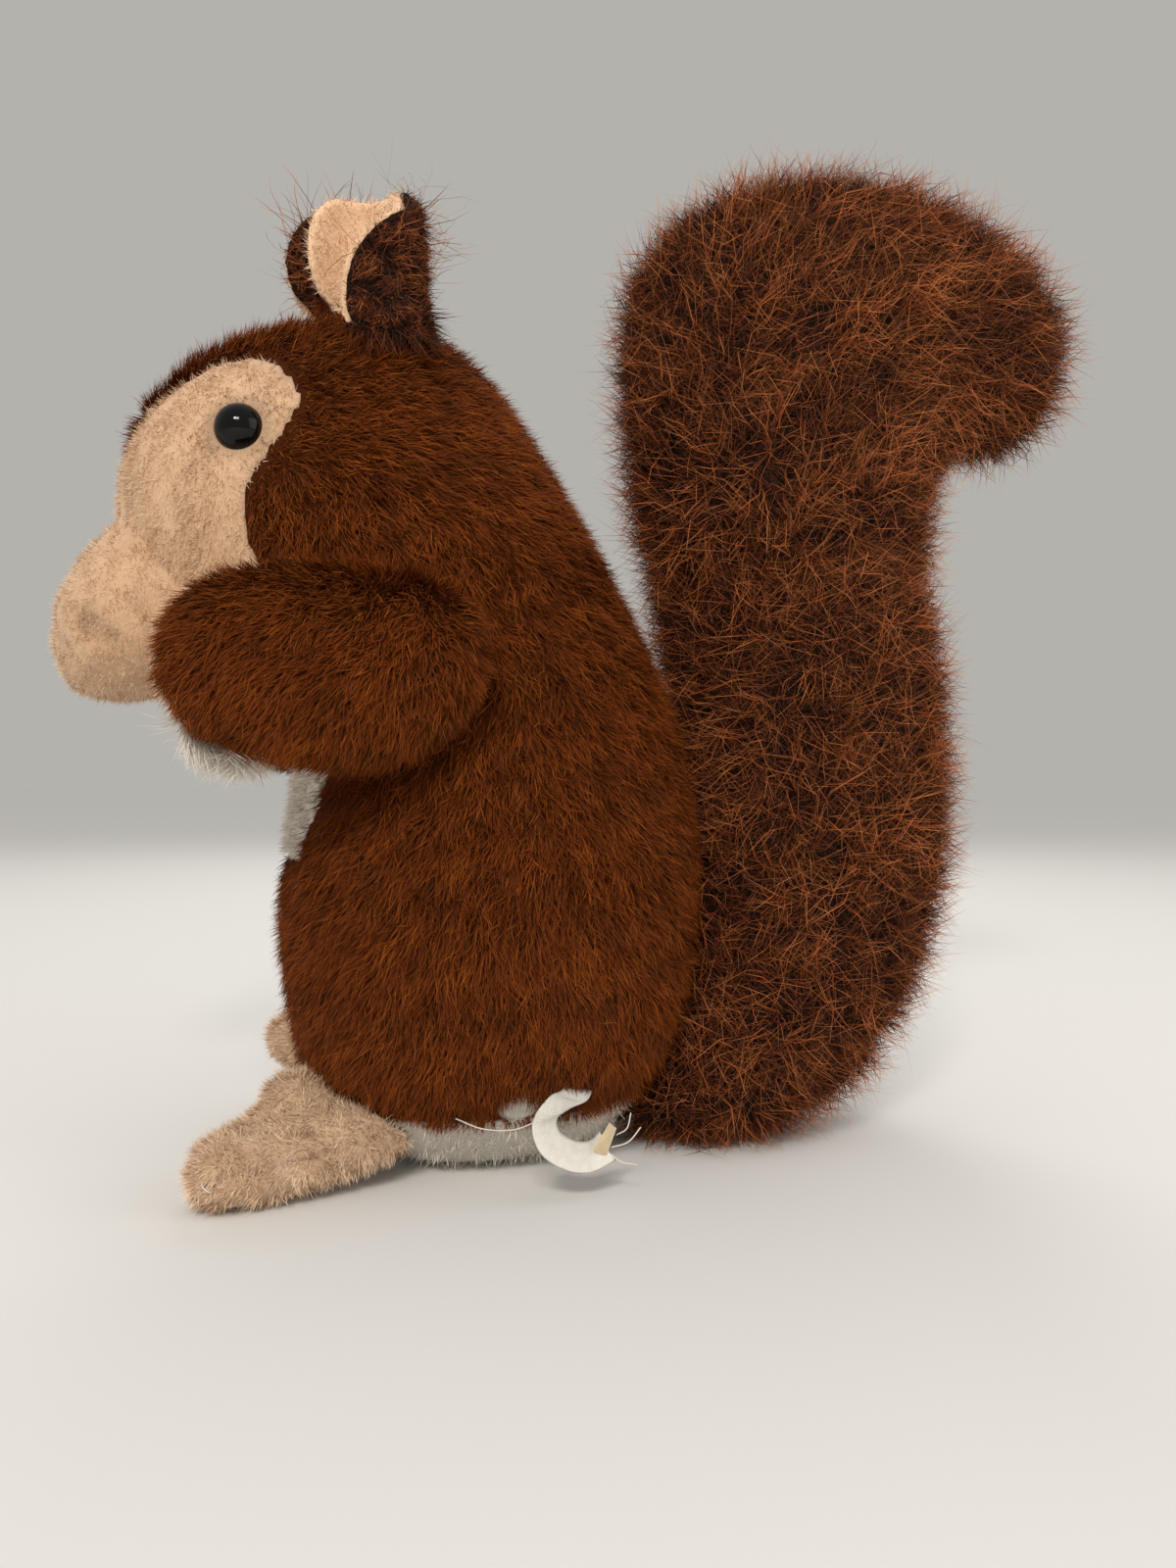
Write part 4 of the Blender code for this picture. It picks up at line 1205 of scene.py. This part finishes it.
def shag_on_ear(side, number):
    """Dark shaggy pile outside with a skirt over the ear's foot, wisps at the top, and fuzz on the lining."""
    back, lining = ears["back", side], ears["lining", side]
    places = coordinates(back.data)
    lining_tree = tree_of(lining.data)
    away = np.array([
        Vector(normal).dot(Vector(place) - lining_tree.find_nearest(Vector(place))[0])
        for place, normal in zip(places, vertex_normals(back.data))
    ])
    shown = ~covered_by(places, ["trunk"], 0.3)
    outer_face = (away > 0.9 * MM) & shown
    edge = places[(away > -0.5 * MM) & (away < 0.9 * MM)]
    edge_tree = point_tree(edge)

    def comb_ear(roots, normals):
        """Away from the ear's edge, and tangled."""
        inwards = unit(roots - np.array([edge_tree.find(root)[0] for root in roots]))
        return inwards * 1.2 + np.array((0.3, 0.0, -0.1)) + waves(roots, 5.0, 55) * 0.6

    length = near_points(edge, 6.0, 0.25)
    ground = Ground(back, outer_face)
    pile(f"ear_under_pile_{side}", ground, EAR_UNDER, 4.5, 0.34, 0.6, comb_ear, DARK_UNDER, "long_pile",
         400 + number, ruffle=0.5, clump=0.3, tone=0.24, tone_size=4.0, highest=3.0, shorten=length)
    pile(f"ear_pile_{side}", ground, EAR_LOCKS, 7.5, 0.2, 0.62, comb_ear, RUST, "long_pile",
         410 + number, segments=2, ruffle=0.6, curl=0.35, clump=0.2, tone=0.26, tone_size=4.0, highest=4.2,
         vary=0.5, shorten=length)
    skirt = (distance_from("trunk", places) < 7 * MM) & (away > -0.6 * MM) & shown
    pile(f"ear_skirt_{side}", Ground(back, skirt), EAR_SKIRT, 6.5, 0.34, 0.8, comb_down, DARK_UNDER,
         "long_pile", 405 + number, ruffle=0.4, tone=0.3, vary=0.5)
    top = outer_face & (places[:, 2] > (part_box(f"ear_back_{side}")[0][2] + 12 * MM))
    pile(f"ear_wisps_{side}", Ground(back, top), EAR_WISPS, 11.0, 0.16, 0.25, comb_up, RUST, "long_pile",
         415 + number, segments=3, ruffle=0.45, curl=0.5, vary=0.55)

    places = coordinates(lining.data)
    hem = (distance_from("trunk", places) < 6.5 * MM) & (vertex_normals(lining.data)[:, 2] < -0.35)
    set_shade_and_hem(lining, hem * 1.3)
    pile(f"ear_hem_{side}", Ground(lining, hem), EAR_SKIRT, 5.0, 0.34, 0.7, comb_down, BROWN_UNDER,
         "brown_plush", 407 + number, ruffle=0.4, vary=0.5)
    shown = ~covered_by(places, ["trunk", f"ear_back_{side}"], 0.4) & ~hem
    pile(f"ear_lining_fuzz_{side}", Ground(lining, shown), LINING_FUZZ, 1.6, 0.26, 0.4, comb_loose,
         CREAM_FUZZ, "cream_velour", 420 + number, ruffle=0.6)


def fuzz_on_face(side, number):
    shown = ~covered_by(body_places, [f"arm_{side}", f"eye_{side}"], 0.2)
    # The fuzz is darker in painted shade round the eye and in the nose's dents
    pile(f"face_fuzz_{side}", Ground(body, parts[f"face_panel_{side}"] & shown), FACE_FUZZ, 1.9, 0.28, 0.4,
         comb_down, BEIGE_FUZZ, "velour", 430 + number, ruffle=0.5, tone=0.62, tone_size=12.0, darken=painted_shade)


def fuzz_on_foot(side, number):
    foot = feet[side]
    places = coordinates(foot.data)
    shown = ~covered_by(places, ["trunk", "base_panel"], 0.4) & (places[:, 2] > 0.6 * MM)
    pile(f"foot_fuzz_{side}", Ground(foot, shown), FOOT_FUZZ, 2.4, 0.3, 0.45, comb_to_toe, FOOT_FUZZ_PILE,
         "velour", 440 + number, ruffle=0.45, clump=0.12, clump_size=1.5, darken=pale_rim)


def fuzz_on_muzzle():
    shown = ~covered_by(body_places, ["arm_left", "arm_right"], 0.2)
    # The fuzz is darker in painted shade in the nose's dents
    pile("muzzle_fuzz", Ground(body, parts["muzzle"] & shown), MUZZLE_FUZZ, 2.0, 0.28, 0.4, comb_loose,
         BEIGE_FUZZ, "velour", 450, ruffle=0.6, tone=0.6, tone_size=5.0, darken=painted_shade)


def white_pile():
    """White pile on what still shows of the belly and the base."""
    belly = Ground(body, parts["belly_panel"] & ~browned & ~hidden)
    pile("belly_pile", belly, BELLY_PILE, 3.4, 0.36, 0.5, comb_down, WHITE_PILE, "white_plush", 460,
         ruffle=0.4, clump=0.3)
    base = Ground(body, parts["base_panel"] & ~browned & ~hidden & (heights > 1.0))
    pile("base_pile", base, BASE_PILE, 2.6, 0.36, 0.6, comb_loose, WHITE_PILE, "white_plush", 470,
         ruffle=0.4)


plush_on_body()
shag_on_tail()
for number, side in enumerate(SIDES):
    coats_on_arm(side, number)
    shag_on_ear(side, number)
    fuzz_on_face(side, number)
    fuzz_on_foot(side, number)
fuzz_on_muzzle()
white_pile()


# Floor, lights and camera

FLOOR_COLOUR = (0.74, 0.735, 0.72)
SKY = (1.0, 0.975, 0.94)
SKY_STRENGTH = 0.62


def make_stage():
    """A pale floor to the horizon, and a plain backdrop of the tone that the floor has far away."""
    bm = bmesh.new()
    bmesh.ops.create_grid(bm, x_segments=1, y_segments=1, size=30.0)
    floor = placed("floor", mesh_from(bm, "floor"))
    finish = Finish("floor_paint", Roughness=0.9, Specular_IOR_Level=0.1)
    floor.data.materials.append(finish.set(Base_Color=(*FLOOR_COLOUR, 1.0)))

    world = bpy.data.worlds.new("studio")
    bpy.context.scene.world = world
    world.use_nodes = True
    sky = Nodes(world.node_tree)
    rays = sky.node("ShaderNodeLightPath")
    camera_ray, glossy_ray = sky.wire(rays, "Is Camera Ray"), sky.wire(rays, "Is Glossy Ray")
    seen = (camera_ray + glossy_ray + sky.wire(rays, "Is Transmission Ray")).clamped()
    far_floor = tuple(floor_part * sky_part * SKY_STRENGTH for floor_part, sky_part in zip(FLOOR_COLOUR, SKY))
    lit = tuple(part * SKY_STRENGTH for part in SKY)
    background = world.node_tree.nodes["Background"]
    sky.join(sky.mix(seen, (*lit, 1.0), (*far_floor, 1.0)), background.inputs["Color"])


def lamp(name, place, target, size, watts, colour):
    light = bpy.data.lights.new(name, "AREA")
    light.size = size
    light.energy = watts
    light.color = colour
    made = placed(name, light)
    made.location = place
    made.rotation_euler = (Vector(target) - Vector(place)).to_track_quat("-Z", "Y").to_euler()


CAMERA_PLACE = (-0.04729, -0.27307, 0.0856)
CAMERA_TURN = -15.0
CAMERA_SHIFT = -4 / 1600


def make_camera():
    data = bpy.data.cameras.new("camera")
    data.lens = 27.0
    data.sensor_fit = "VERTICAL"
    data.sensor_height = 36.0
    data.sensor_width = 36.0
    data.shift_y = CAMERA_SHIFT
    data.clip_start = 0.01
    data.clip_end = 20.0
    camera = placed("camera", data)
    camera.location = CAMERA_PLACE
    camera.rotation_euler = (radians(90), 0, radians(CAMERA_TURN))
    bpy.context.scene.camera = camera


bpy.context.scene.view_settings.view_transform = "Standard"
make_stage()
lamp("key", (-0.42, -0.9, 0.78), (0.02, 0.0, 0.11), 0.16, 5.4, (1.0, 0.95, 0.88))
lamp("second_key", (-0.22, -0.95, 0.76), (0.02, 0.0, 0.11), 0.16, 3.4, (1.0, 0.95, 0.88))
lamp("fill", (0.9, -0.5, 0.5), (0.02, 0.0, 0.1), 0.8, 2.6, (1.0, 0.97, 0.93))
lamp("rim", (0.2, 0.8, 0.9), (0.03, 0.0, 0.12), 0.6, 3.6, (1.0, 0.97, 0.93))
make_camera()
